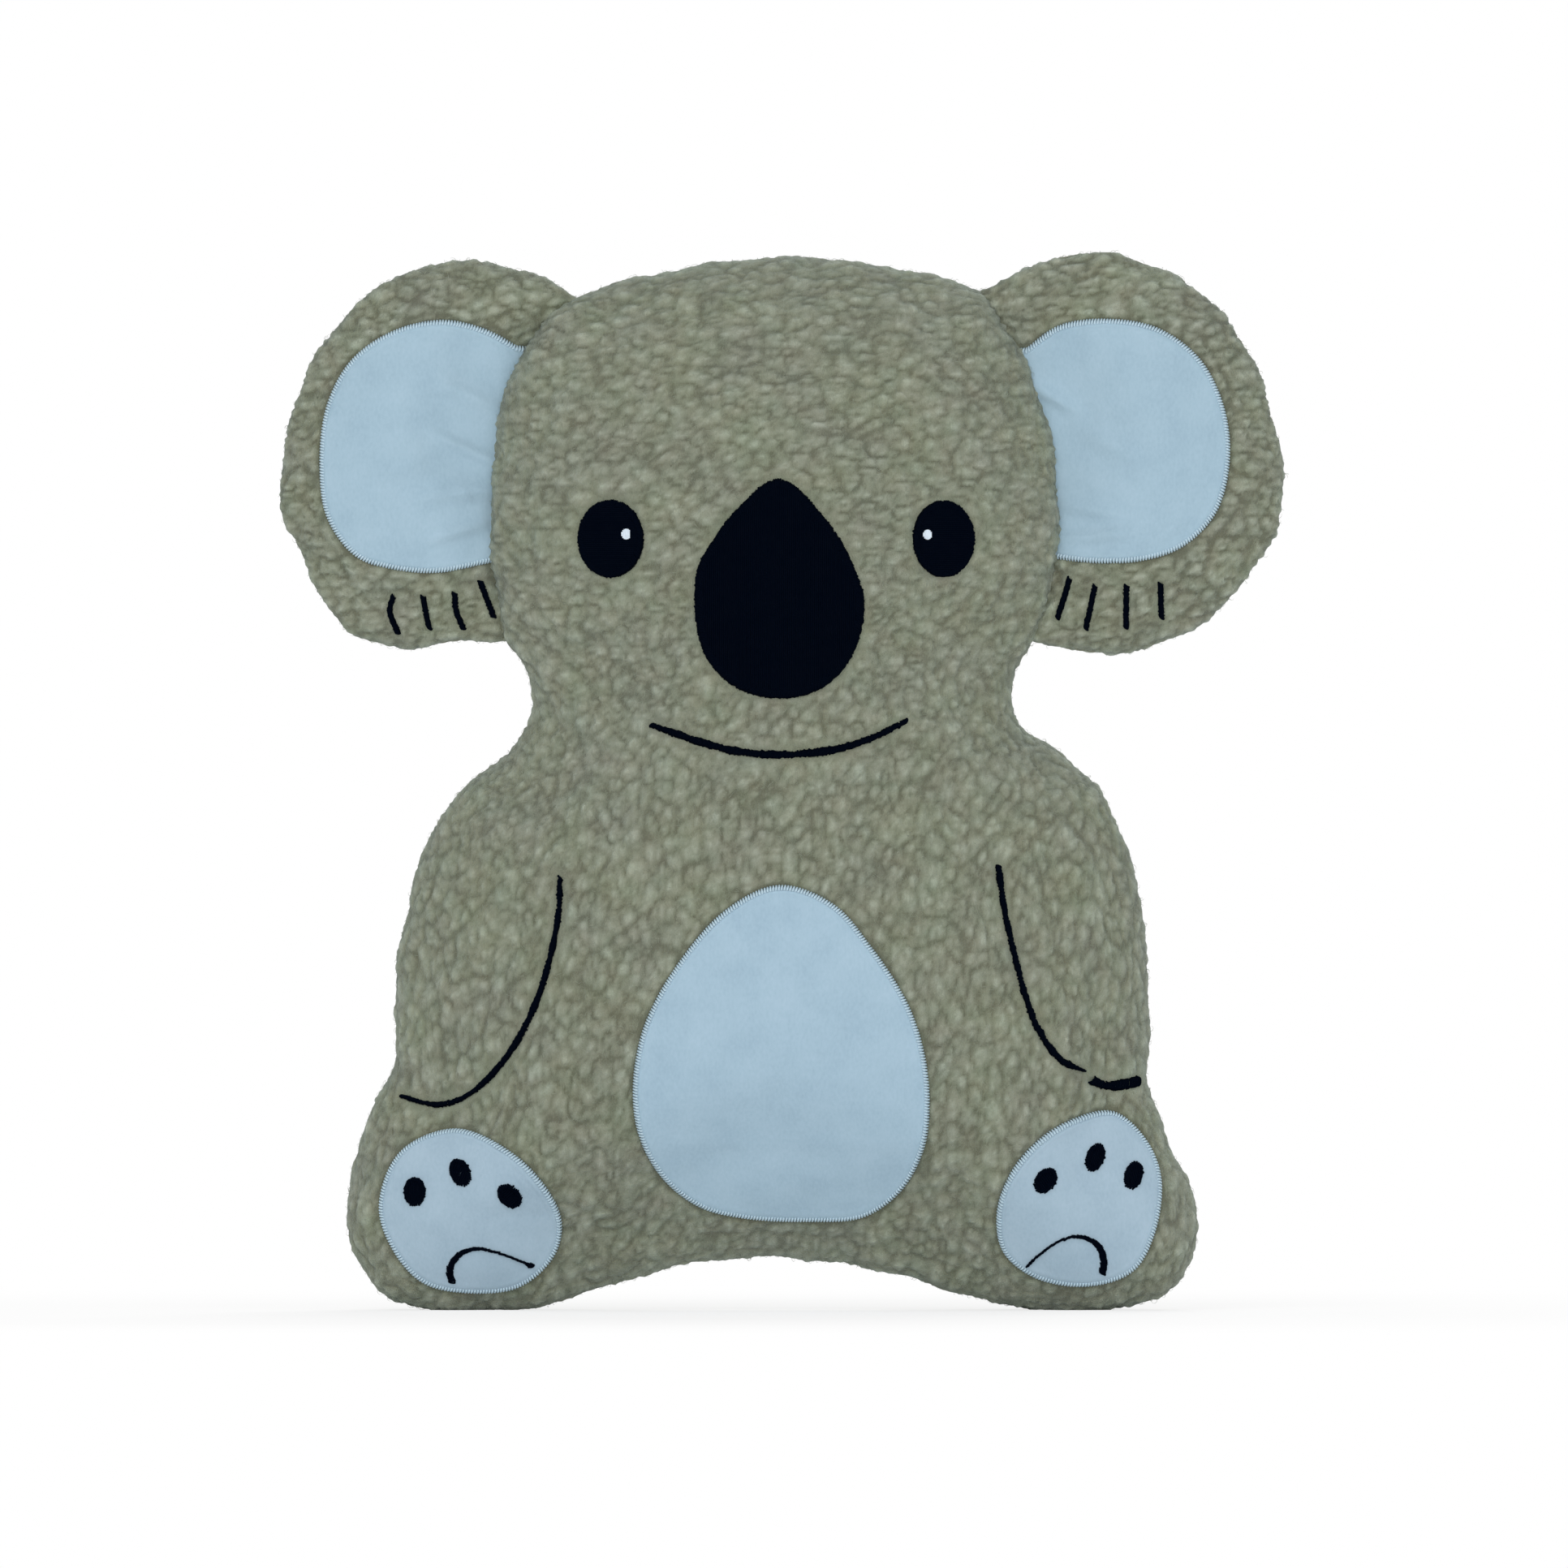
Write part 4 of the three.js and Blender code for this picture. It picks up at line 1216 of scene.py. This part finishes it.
# %% Patch material
def patch_material(name, base):
    """Short plush of a colour."""
    material, nodes, links, shader = new_material(name)
    source = object_place(nodes)
    stretch = nodes.new("ShaderNodeMapping")
    stretch.inputs["Scale"].default_value = (1, 1, 0.6)
    links.new(source, stretch.inputs["Vector"])
    nap = noise(nodes, links, 0.7 * MM, 4, stretch.outputs["Vector"])
    clouds = noise(nodes, links, 9 * MM, 3, source)
    fine = maths(nodes, links, "MULTIPLY", nap, 0.45)
    tone = maths(nodes, links, "MULTIPLY_ADD", clouds, 0.55, fine)
    red, green, blue = base
    colours = ramp(
        nodes, links, tone,
        (0.3, colour(red - 8, green - 8, blue - 7)), (0.5, colour(red, green, blue)),
        (0.72, colour(red + 7, green + 6, blue + 6)),
    )
    links.new(colours, shader.inputs["Base Color"])
    shader.inputs["Roughness"].default_value = 0.9
    shader.inputs["Specular IOR Level"].default_value = 0.2
    shader.inputs["Sheen Weight"].default_value = 0.15
    shader.inputs["Sheen Roughness"].default_value = 0.5
    bumped(nodes, links, shader, nap, 0.25, 0.2 * MM)
    return material


# The three copies are one plush. The ear copy is made darker as painted shade, which evens out the
# stronger light that falls on the ears.
patch_looks = {
    "belly": patch_material("smooth_belly_plush", (154, 179, 195)),
    "ear": patch_material("smooth_ear_plush", (151, 176, 191)),
    "foot": patch_material("smooth_foot_plush", (155, 177, 192)),
}
for name, piece in patches.items():
    piece.data.materials.append(next(look for part, look in patch_looks.items() if part in name))
print("patch materials:", [look.name for look in patch_looks.values()])

# %% [markdown]
# ## Threads
#
# Embroidery is thread, so it is built as thread: every stitch is a short tube that rises out
# of the cloth and dives back in. A bump map could fake the ridges, but the edge of a satin
# line is a row of thread ends, and that shows in its outline.

# %% Tubes of thread
def tubes(paths, ups, radii, flatness=0.85, sides=6):
    """Points and faces of closed tubes along paths, all with as many points."""
    ahead = np.gradient(paths, axis=1)
    ahead /= np.linalg.norm(ahead, axis=2)[..., None]
    beside = np.cross(ahead, ups)
    beside /= np.linalg.norm(beside, axis=2)[..., None]
    above = np.cross(beside, ahead)
    count, length = paths.shape[:2]
    radii = np.broadcast_to(radii, (count, length))
    turns = np.arange(sides) * 2 * math.pi / sides
    rings = paths[:, :, None] + radii[:, :, None, None] * (
        np.cos(turns)[:, None] * beside[:, :, None]
        + flatness * np.sin(turns)[:, None] * above[:, :, None]
    )
    points = rings.reshape(-1, 3)
    start = np.arange(count)[:, None, None] * length * sides
    ring = np.arange(length - 1)[:, None] * sides
    i = np.arange(sides)
    j = (i + 1) % sides
    low, high = start + ring, start + ring + sides
    walls = np.stack([low + i, low + j, high + j, high + i], axis=-1).reshape(-1, 4).tolist()
    first = start[:, 0] + i[::-1]
    last = start[:, 0] + (length - 1) * sides + i
    return points, walls + first.tolist() + last.tolist()


def joined(parts):
    """Points and faces of several meshes as one."""
    points, faces, offset = [], [], 0
    for part_points, part_faces in parts:
        points.append(part_points)
        faces += [[i + offset for i in face] for face in part_faces]
        offset += len(part_points)
    return np.vstack(points), faces


# %% Satin stitches
def line_ways(line, closed):
    """Unit directions square to a line in the front view."""
    if closed:
        return inward(line)
    ahead = np.gradient(line, axis=0)
    ahead /= np.linalg.norm(ahead, axis=1)[:, None]
    return np.stack([-ahead[:, 1], ahead[:, 0]], axis=-1)


thread_points = 7
thread_radius = 0.27 * MM
stitch_lean = 0.35 * MM  # how far a stitch's ends lie ahead and behind
stitch_shift = 0.08 * MM
stitch_dive = 0.35 * MM  # how deep its ends go into the cloth
width_scatter = 0.12
rise_scatter = 0.1


def satin(surface, line, width, crown, base=0.0, closed=False, seed=1):
    """Stitches side by side across a line, one at each of its points."""
    source = np.random.default_rng(seed)
    width = np.broadcast_to(width, len(line)) * (
        1 + width_scatter * (source.random(len(line)) - 0.5)
    )
    ways = line_ways(line, closed)
    along = np.stack([ways[:, 1], -ways[:, 0]], axis=-1)
    u = np.linspace(-1, 1, thread_points)
    lean = stitch_lean * u[None, :, None] * along[:, None]
    shift = stitch_shift * source.normal(size=len(line))[:, None, None] * ways[:, None]
    places = line[:, None] + ways[:, None] * (u[:, None] * width[:, None, None] / 2) + lean + shift
    arch = crown * np.sqrt(np.clip(1 - (0.98 * u) ** 2, 0, 1)) - stitch_dive * np.abs(u) ** 6
    rise = base + arch * (1 + rise_scatter * source.normal(size=(len(line), 1)))
    paths, ups = lay(surface, places, rise)
    return tubes(paths, ups, thread_radius)


# %% Fill stitches
fill_stitch = 4 * MM  # from one dip of the thread to the next
fill_dip = 0.12 * MM
dip_width = 0.09  # of a stitch
row_shift = 0.37  # of a stitch, from one row to the next
row_radius = 0.62  # of the pitch, so that neighbouring rows touch


def rows(surface, loop, degrees, pitch, base, step=1 * MM, inset=0.6 * MM, first=1):
    """Rows of fill stitches inside a loop, side by side, turned by some degrees from upright."""
    lean = math.radians(degrees)
    along = np.array([math.sin(lean), math.cos(lean)])
    beside = np.array([along[1], -along[0]])
    s, t = loop @ along, loop @ beside
    count = int((t.max() - t.min()) / pitch)
    longest = int((s.max() - s.min()) / step) + 2
    paths, ups, radii = [], [], []
    after = np.roll(np.arange(len(loop)), -1)
    for row in range(count):
        level = t.min() + (row + first) * pitch
        spans = (t > level) != (t[after] > level)
        share = (level - t[spans]) / (t[after][spans] - t[spans])
        hits = s[spans] + share * (s[after][spans] - s[spans])
        low, high = hits.min() + inset, hits.max() - inset
        if high - low < step:
            continue
        run = np.linspace(low, high, longest)
        from_dip = (run / fill_stitch + row_shift * row) % 1 - 0.5
        dip = fill_dip * np.exp(-(from_dip / dip_width) ** 2)
        path, up = lay(surface, run[:, None] * along + level * beside, base - dip)
        paths.append(path)
        ups.append(up)
        radii.append(np.full(longest, pitch * row_radius))
    return tubes(np.array(paths), np.array(ups), np.array(radii))


# %% Lines of satin stitch
thread_pieces = {}
line_crown = 0.55 * MM
tuft_crown = 0.5 * MM
unevenness = 0.25  # of a line's width
line_widths = {  # shares of the width, at shares of the line's length
    "mouth_line": ((0, 0.7), (0.12, 1), (0.88, 1), (1, 0.7)),
    "left_arm_line": ((0, 0.65), (0.55, 0.85), (0.68, 0.8), (0.76, 0.5), (0.88, 0.65), (1, 0.4)),
    "right_arm_line": ((0, 0.85), (0.15, 0.75), (0.55, 0.75), (0.8, 0.9), (0.92, 0.85), (1, 0.2)),
    "right_paw_line": ((0, 1.45), (0.5, 1.3), (1, 1.3)),
}
for seed, (name, line) in enumerate(body_lines.items()):
    at, share = np.array(line_widths[name]).T
    width = line_width * np.interp(np.linspace(0, 1, len(line)), at, share)
    width *= 1 + unevenness * wander(edge_points(line), 4 * MM, 61)[:, 0]
    thread_pieces[name] = shell(
        name.replace("line", "satin"), *satin(body_surface, line, width, line_crown, seed=seed)
    )
for side_name, lines in tuft_lines.items():
    for number, line in enumerate(lines, start=1):
        thread_pieces[f"{side_name}_ear_tuft_line_{number}"] = shell(
            f"{side_name}_ear_tuft_satin_{number}",
            *satin(ear_sides[side_name]["surface"], line, tuft_width, tuft_crown, seed=10 + number),
        )
print("satin lines:", len(thread_pieces))

# %% [markdown]
# ## Nose, eyes and toes
#
# A filled shape is sewn in rows that start and stop along its outline, and a narrow band of
# satin stitch across the outline covers their ends. On the eyes a small white fill lies on
# the dark one.

# %% Filled embroidery
def inset_loop(loop, inset, step):
    """A loop drawn in by some distance, with even steps."""
    smaller = loop + inward(loop) * inset
    return even_steps(np.vstack([smaller, smaller[:1]]), step, closed=True)


fill_pitch = 0.5 * MM
band_drop = 0.3 * MM  # how much lower the band starts than the rows


def filled_shape(name, surface, loop, degrees, band, base=0.35 * MM):
    """Fill rows and a band of satin round them."""
    edge = inset_loop(loop, band / 2, stitch_pitch)
    return shell(name, *joined([
        rows(surface, loop, degrees, fill_pitch, base),
        satin(surface, edge, band, line_crown, base=base - band_drop, closed=True, seed=3),
    ]))


# %% Nose and eyes
spot_sizes = {"left": (2.3 * MM, 2.7 * MM), "right": (2.1 * MM, 2.5 * MM)}
spot_rise = 0.75 * MM
spot_pitch = 0.3 * MM
nose_band = 2.2 * MM
eye_band = 1.5 * MM
thread_pieces["nose"] = filled_shape("nose_fill", body_surface, nose_loop, 0, nose_band)
for side_name in ear_sides:
    eye_loop = oval(eye_middles[side_name], *eye_size[side_name])
    thread_pieces[f"{side_name}_eye"] = filled_shape(
        f"{side_name}_eye_fill", body_surface, eye_loop, 90, eye_band
    )
    spot = oval(spot_middles[side_name], *spot_sizes[side_name])
    thread_pieces[f"{side_name}_eye_highlight"] = shell(
        f"{side_name}_eye_spot",
        *rows(body_surface, spot, 0, spot_pitch, spot_rise, step=spot_pitch, inset=0, first=0.3),
    )
print("nose faces:", len(thread_pieces["nose"].data.polygons))

# %% Toes and heels
on_patch = 0.5 * MM  # where threads on a patch start, above the pressed fleece
toe_rise = on_patch + 0.3 * MM
toe_band = 1.1 * MM
heel_width = 1.6 * MM
heel_thinnest = 0.15 * MM
heel_dot = 1.1 * MM
heel_crown = 0.45 * MM
for side_name in ear_sides:
    toes = zip(toe_middles[side_name], toe_sizes[side_name], toe_turns[side_name])
    for number, (middle, size, turn) in enumerate(toes, start=1):
        thread_pieces[f"{side_name}_toe_{number}"] = filled_shape(
            f"{side_name}_toe_fill_{number}", body_surface,
            oval(middle, *size, turn), turn, toe_band, base=toe_rise,
        )
    heel = smooth_line(place(heel_patterns[side_name]), stitch_pitch)
    taper = 1 - smooth_step(0.05, 0.7, np.linspace(0, 1, len(heel)))
    width = heel_thinnest + heel_width * taper
    if side_name == "left":
        from_end = np.arange(len(heel))[::-1] - 1
        width += heel_dot * np.exp(-(from_end / 2) ** 2)
    thread_pieces[f"{side_name}_heel_line"] = shell(
        f"{side_name}_heel_satin",
        *satin(body_surface, heel, width, heel_crown, base=on_patch, seed=7),
    )
print("thread pieces:", len(thread_pieces))

# %% [markdown]
# ## Stitches round the patches
#
# A patch is held by a small zigzag over its edge, in thread of nearly its own colour. Each
# leg of the zigzag starts on the patch and ends in the fleece just outside.

# %% Edge stitches
zigzag_pitch = 0.72 * MM
zigzag_width = 1.2 * MM
zigzag_outside = 0.3  # share of the width that lies on the fleece
zigzag_lean = 0.4  # of the pitch
zigzag_rise = 0.2 * MM  # above the patch
zigzag_sink = 0.3 * MM  # into the fleece


def zigzag(name, surface, line, closed):
    """Small stitches over the edge of a patch."""
    line = even_steps(np.vstack([line, line[:1]]) if closed else line, zigzag_pitch, closed)
    ways = inward(line) if closed else line_ways(line, False)
    if not closed:
        middle = line.mean(axis=0)
        ways *= np.sign(np.sum(ways * (middle - line), axis=1))[:, None]
    along = np.stack([ways[:, 1], -ways[:, 0]], axis=-1)
    u = np.linspace(-zigzag_outside, 1 - zigzag_outside, thread_points)
    places = line[:, None] + ways[:, None] * (u[:, None] * zigzag_width) + (
        along[:, None] * (u[:, None] * zigzag_pitch * zigzag_lean)
    )
    on = smooth_step(-zigzag_outside, 0.35, u)
    rise = (patch_rise + zigzag_rise) * on + 0.1 * MM * (1 - on)
    rise[0], rise[-1] = -zigzag_sink, patch_rise - 0.1 * MM
    paths, ups = lay(surface, places, rise)
    return shell(name, *tubes(paths, ups, thread_radius, flatness=0.8))


edge_stitches = {
    "belly_patch": zigzag("belly_patch_zigzag", body_surface, belly_patch, True),
}
for side_name, ear in ear_sides.items():
    edge_stitches[f"{side_name}_foot_patch"] = zigzag(
        f"{side_name}_foot_patch_zigzag", body_surface, foot_patches[side_name], True
    )
    edge_stitches[f"{side_name}_ear_patch"] = zigzag(
        f"{side_name}_ear_patch_zigzag", ear["surface"], ear["stitched"], False
    )
print("edge stitches:", {n: len(p.data.polygons) for n, p in edge_stitches.items()})

# %% [markdown]
# ## Seam stitches
#
# Front and back meet in a groove round the edge. A row of lock stitches lies at its bottom,
# seen only from the side.

# %% Seam stitches
seam_stitch = 3 * MM
seam_gap = 0.06  # share of a stitch that is left free at each end
seam_dive = 0.25 * MM
seam_radius = 0.3 * MM


def seam(name, outline):
    """A row of stitches along an outline, at the bottom of its groove."""
    line = inset_loop(outline, groove_depth, seam_stitch)
    following = np.roll(line, -1, axis=0)
    u = np.linspace(seam_gap, 1 - seam_gap, 5)[None, :, None]
    flat = line[:, None] * (1 - u) + following[:, None] * u
    dive = seam_dive * (2 * u - 1) ** 2
    flat = flat + dive * inward(line)[:, None]
    paths = np.stack([flat[..., 0], np.zeros(flat.shape[:2]), flat[..., 1]], axis=-1)
    ups = np.broadcast_to(np.array([0.0, -1, 0]), paths.shape)
    return shell(name, *tubes(paths, ups, seam_radius, flatness=1))


seams = {"body_seam_thread": seam("body_seam_stitches", body_outline)}
for side_name, ear in ear_sides.items():
    seams[f"{side_name}_ear_seam_thread"] = seam(f"{side_name}_ear_seam_stitches", ear["outline"])
print("seams:", {n: len(p.data.polygons) for n, p in seams.items()})

# %% [markdown]
# ## Loose fibres
#
# The pile ends in loose curly fibres, which blur the toy's outline. A hair system would make
# thousands more, but they would be lost when the toy is exported as a mesh. So a limited
# number of thin curls is scattered over the fleece, each an arc that rises out of it.

# %% Loose fibres
fibre_radius = 0.05 * MM
fibre_curl = (0.35 * MM, 0.75 * MM)  # radius of the arcs
fibre_turn = (2, 3.6)  # angle of the arcs, where a half turn is 3.14
fibre_root = 0.15 * MM  # how deep a fibre starts in the pile
fibre_tip = 0.35  # its radius, as a share of the root's
fibre_points = 5


def fuzz(name, part, side, count, seed):
    """Loose curly fibres on one side of a part."""
    points, _, normals, free = pile[part]
    source = np.random.default_rng(seed)
    roots = source.choice(np.flatnonzero(free & (points[:, 1] * side > 0)), count, replace=False)
    root, up = points[roots][:, None], normals[roots][:, None]
    lean = source.normal(size=(count, 1, 3))
    lean -= up * np.sum(lean * up, axis=2, keepdims=True)
    lean /= np.linalg.norm(lean, axis=2, keepdims=True)
    swing = np.cross(up, lean) * source.uniform(-0.5, 0.5, (count, 1, 1))
    steps = np.linspace(0, 1, fibre_points)[None, :, None]
    turn = steps * source.uniform(*fibre_turn, (count, 1, 1))
    curl = source.uniform(*fibre_curl, (count, 1, 1))
    paths = root - fibre_root * up + curl * (
        up * np.sin(turn) + lean * (1 - np.cos(turn)) + swing * turn
    )
    paths[..., 2] = np.maximum(paths[..., 2], fibre_radius)
    taper = fibre_radius * np.linspace(1, fibre_tip, fibre_points)
    beside = np.broadcast_to(np.cross(up, lean), paths.shape)
    return shell(name, *tubes(paths, beside, taper, flatness=1, sides=3))


# %% Fibres on every part
fibre_counts = {"": {"front": 7200, "back": 7200}}
fibre_counts["left_ear_"] = fibre_counts["right_ear_"] = {"front": 600, "back": 1100}
fibre_seeds = {"": {"front": 41, "back": 42}}
fibre_seeds["left_ear_"] = fibre_seeds["right_ear_"] = {"front": 43, "back": 44}
loose_fibres = {}
for part in pile:
    for half, side in halves.items():
        name = f"{part}{half}_loose_fibres"
        loose_fibres[name] = fuzz(
            name, part, side, fibre_counts[part][half], fibre_seeds[part][half]
        )
print("loose fibres:", sum(sum(counts.values()) for counts in fibre_counts.values()))


# %% Fibre material
def fibre_material():
    """The fleece's lighter tones, changing from place to place."""
    material, nodes, links, shader = new_material("loose_fibre")
    mix = noise(nodes, links, 3 * MM, 2, object_place(nodes))
    colours = ramp(nodes, links, mix, (0.35, colour(128, 135, 117)), (0.65, colour(152, 160, 145)))
    links.new(colours, shader.inputs["Base Color"])
    shader.inputs["Roughness"].default_value = 0.9
    shader.inputs["Specular IOR Level"].default_value = 0.1
    shader.inputs["Sheen Weight"].default_value = 0.2
    return material


fibre_look = fibre_material()
for piece in loose_fibres.values():
    piece.data.materials.append(fibre_look)
print(fibre_look.name, "on pieces:", len(loose_fibres))

# %% [markdown]
# ## Thread materials
#
# Embroidery thread is twisted from fine filaments, and on this toy it is nearly matt. A fine
# wave across the threads stands for the twist, and noise breaks it up so that it never looks
# printed.

# %% Thread materials
def thread_material(name, base, roughness, level, gloss):
    """Twisted thread: a colour, how rough, how far its tones spread, and how glossy."""
    material, nodes, links, shader = new_material(name)
    source = object_place(nodes)
    twist = nodes.new("ShaderNodeTexWave")
    twist.inputs["Scale"].default_value = 1 / (1.1 * MM)
    twist.inputs["Distortion"].default_value = 6
    twist.inputs["Detail"].default_value = 2
    links.new(source, twist.inputs["Vector"])
    worn = maths(nodes, links, "MULTIPLY", noise(nodes, links, 2.5 * MM, 3, source), 0.5)
    tone = maths(nodes, links, "MULTIPLY_ADD", twist.outputs["Fac"], 0.5, worn)
    dark = [max(0, c - level) for c in base]
    light = [min(255, c + level) for c in base]
    colours = ramp(nodes, links, tone, (0.25, colour(*dark)), (0.75, colour(*light)))
    links.new(colours, shader.inputs["Base Color"])
    shader.inputs["Roughness"].default_value = roughness
    shader.inputs["Specular IOR Level"].default_value = gloss
    bumped(nodes, links, shader, twist.outputs["Fac"], 0.3, 0.1 * MM)
    return material


black_thread = thread_material("black_thread", (2, 6, 16), 0.8, 2, 0.01)
white_thread = thread_material("white_thread", (208, 219, 229), 0.6, 8, 0.2)
pale_thread = thread_material("pale_thread", (178, 200, 212), 0.75, 7, 0.1)
seam_thread = thread_material("seam_thread", (128, 132, 116), 0.7, 9, 0.2)
for name, piece in thread_pieces.items():
    piece.data.materials.append(white_thread if "highlight" in name else black_thread)
for piece in edge_stitches.values():
    piece.data.materials.append(pale_thread)
for piece in seams.values():
    piece.data.materials.append(seam_thread)
print("stitched pieces:", len(thread_pieces) + len(edge_stitches) + len(seams))

# %% [markdown]
# ## What moves with what
#
# Every piece but the loose fibres stands for its piece of the imported model, which is hidden
# then. The body's pieces ride on the body. The ears' pieces are left where they are.

# %% Bodies and replaced nodes
for form in [body_form, *(ear["form"] for ear in ear_sides.values())]:
    bpy.data.objects.remove(form)

stands_for = {
    "front_fleece": ("front_panel", "body_filling"),
    "back_fleece": ("back_panel",),
}
for side_name in ear_sides:
    stands_for[f"{side_name}_ear_front_fleece"] = (
        f"{side_name}_ear_front_panel", f"{side_name}_ear_filling"
    )
    stands_for[f"{side_name}_ear_back_fleece"] = (f"{side_name}_ear_back_panel",)
hinge_before = 2 * MM
hinge_after = 16 * MM
bends = {}
for joint in frame["joints"]:
    pivot, axis = np.array(joint["pos_m"]), np.array(joint["axis"])
    away = np.cross(axis, [0, 1, 0])
    away *= np.sign(away[0] * pivot[0])
    bends[joint["child"]] = (pivot - away * hinge_before, pivot + away * hinge_after)
print("ears that bend:", list(bends))


def settle(name, piece, slot, *nodes):
    """Hides the nodes a piece stands for, and puts the piece on the body unless it belongs to an ear;
    the slot is not used.
    """
    if nodes:
        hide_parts(*nodes)
    ear = next((ear for ear in bends if name.startswith(ear)), None)
    if ear is None:
        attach(piece, "body")
    else:
        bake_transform(piece)


# %% Every piece in its place
for name, nodes in stands_for.items():
    settle(name, fleece_pieces[name], "fleece", *nodes)
for name, piece in patches.items():
    settle(name, piece, "patch", name)
for name, piece in edge_stitches.items():
    settle(name, piece, "patch_thread", f"{name}_edge_stitching")
for name, piece in thread_pieces.items():
    settle(name, piece, "white_thread" if "highlight" in name else "black_thread", name)
for name, piece in seams.items():
    settle(name, piece, "seam_thread", name)
for name, piece in loose_fibres.items():
    settle(name, piece, "fleece")
shown = [n for n, o in frame["nodes"].items() if not o.hide_render]
print("packed nodes still showing:", shown)

# %% [markdown]
# ## Room and light
#
# The photograph has a plain white background and soft, even light. So the room gives most of
# the light. A large lamp above the camera to the left shapes the curls, one on the right
# fills, a low one lights the toy from straight ahead, and one behind lights its back. The
# camera sees the room as plain white, which doesn't change the light on the toy.
# The floor keeps the toy's shadow close by, and fades to white further off.

# %% Floor
floor_reach = 4
corners = [[-1, -1, 0], [1, -1, 0], [1, 1, 0], [-1, 1, 0]]
floor = make_piece("floor", floor_reach * np.array(corners), [[0, 1, 2, 3]])


def seen_directly(nodes, links):
    """1 for rays from the camera, or seen in gloss or through glass, and 0 for light."""
    path = nodes.new("ShaderNodeLightPath").outputs
    either = maths(nodes, links, "MAXIMUM", path["Is Glossy Ray"], path["Is Transmission Ray"])
    return maths(nodes, links, "MAXIMUM", path["Is Camera Ray"], either)


shadow_near = 0.15  # metres from the toy's middle
shadow_far = 0.4
white_near = 0.7  # how white the floor looks to the camera beside the toy


def floor_material():
    """A matt pale floor near the toy, which the camera sees fade to white further off."""
    material, nodes, links, shader = new_material("pale_floor")
    nodes.remove(shader)
    matt = nodes.new("ShaderNodeBsdfDiffuse")
    matt.inputs["Color"].default_value = (0.9, 0.9, 0.9, 1)
    white = nodes.new("ShaderNodeEmission")
    mix = nodes.new("ShaderNodeMixShader")
    away = nodes.new("ShaderNodeVectorMath")
    away.operation = "LENGTH"
    links.new(object_place(nodes), away.inputs[0])
    paper = nodes.new("ShaderNodeMapRange")
    links.new(away.outputs["Value"], paper.inputs["Value"])
    paper.inputs["From Min"].default_value = shadow_near
    paper.inputs["From Max"].default_value = shadow_far
    paper.inputs["To Min"].default_value = white_near
    seen = seen_directly(nodes, links)
    white_share = maths(nodes, links, "MULTIPLY", paper.outputs["Result"], seen)
    links.new(white_share, mix.inputs["Fac"])
    links.new(matt.outputs["BSDF"], mix.inputs[1])
    links.new(white.outputs["Emission"], mix.inputs[2])
    links.new(mix.outputs["Shader"], nodes["Material Output"].inputs["Surface"])
    return material


floor.data.materials.append(floor_material())
print("floor, m:", [round(x, 1) for x in floor.dimensions])

# %% Room
room_level = 0.62
room = bpy.data.worlds.new("room")
bpy.context.scene.world = room
room.use_nodes = True
nodes, links = room.node_tree.nodes, room.node_tree.links
plain = nodes["Background"]
plain.inputs["Color"].default_value = (room_level, room_level, room_level, 1)
white = nodes.new("ShaderNodeBackground")
white.inputs["Color"].default_value = (1, 1, 1, 1)
mix = nodes.new("ShaderNodeMixShader")
links.new(seen_directly(nodes, links), mix.inputs["Fac"])
links.new(plain.outputs["Background"], mix.inputs[1])
links.new(white.outputs["Background"], mix.inputs[2])
links.new(mix.outputs["Shader"], nodes["World Output"].inputs["Surface"])
print(room.name, "level:", room_level)


# %% Lamps
aim_at = Vector((0, 0, 0.13))


def lamp(name, place_at, size, watts):
    """A soft square lamp that points at the toy's middle."""
    light = bpy.data.lights.new(name, "AREA")
    light.size = size
    light.energy = watts
    stand = bpy.data.objects.new(name, light)
    stand.location = place_at
    aim = aim_at - stand.location
    stand.rotation_euler = aim.to_track_quat("-Z", "Y").to_euler()
    bpy.context.scene.collection.objects.link(stand)


lamp("key", Vector((-0.5, -1.2, 0.9)), 0.7, 4.8)
lamp("fill", Vector((1.0, -1.3, 0.4)), 1.0, 3)
lamp("low", Vector((0, -1.2, 0.04)), 0.5, 6)
lamp("back", Vector((0.3, 1.2, 1.0)), 0.9, 12)
print("lamps, W:", {light.name: round(light.energy, 1) for light in bpy.data.lights})

bpy.context.scene.view_settings.view_transform = "Standard"
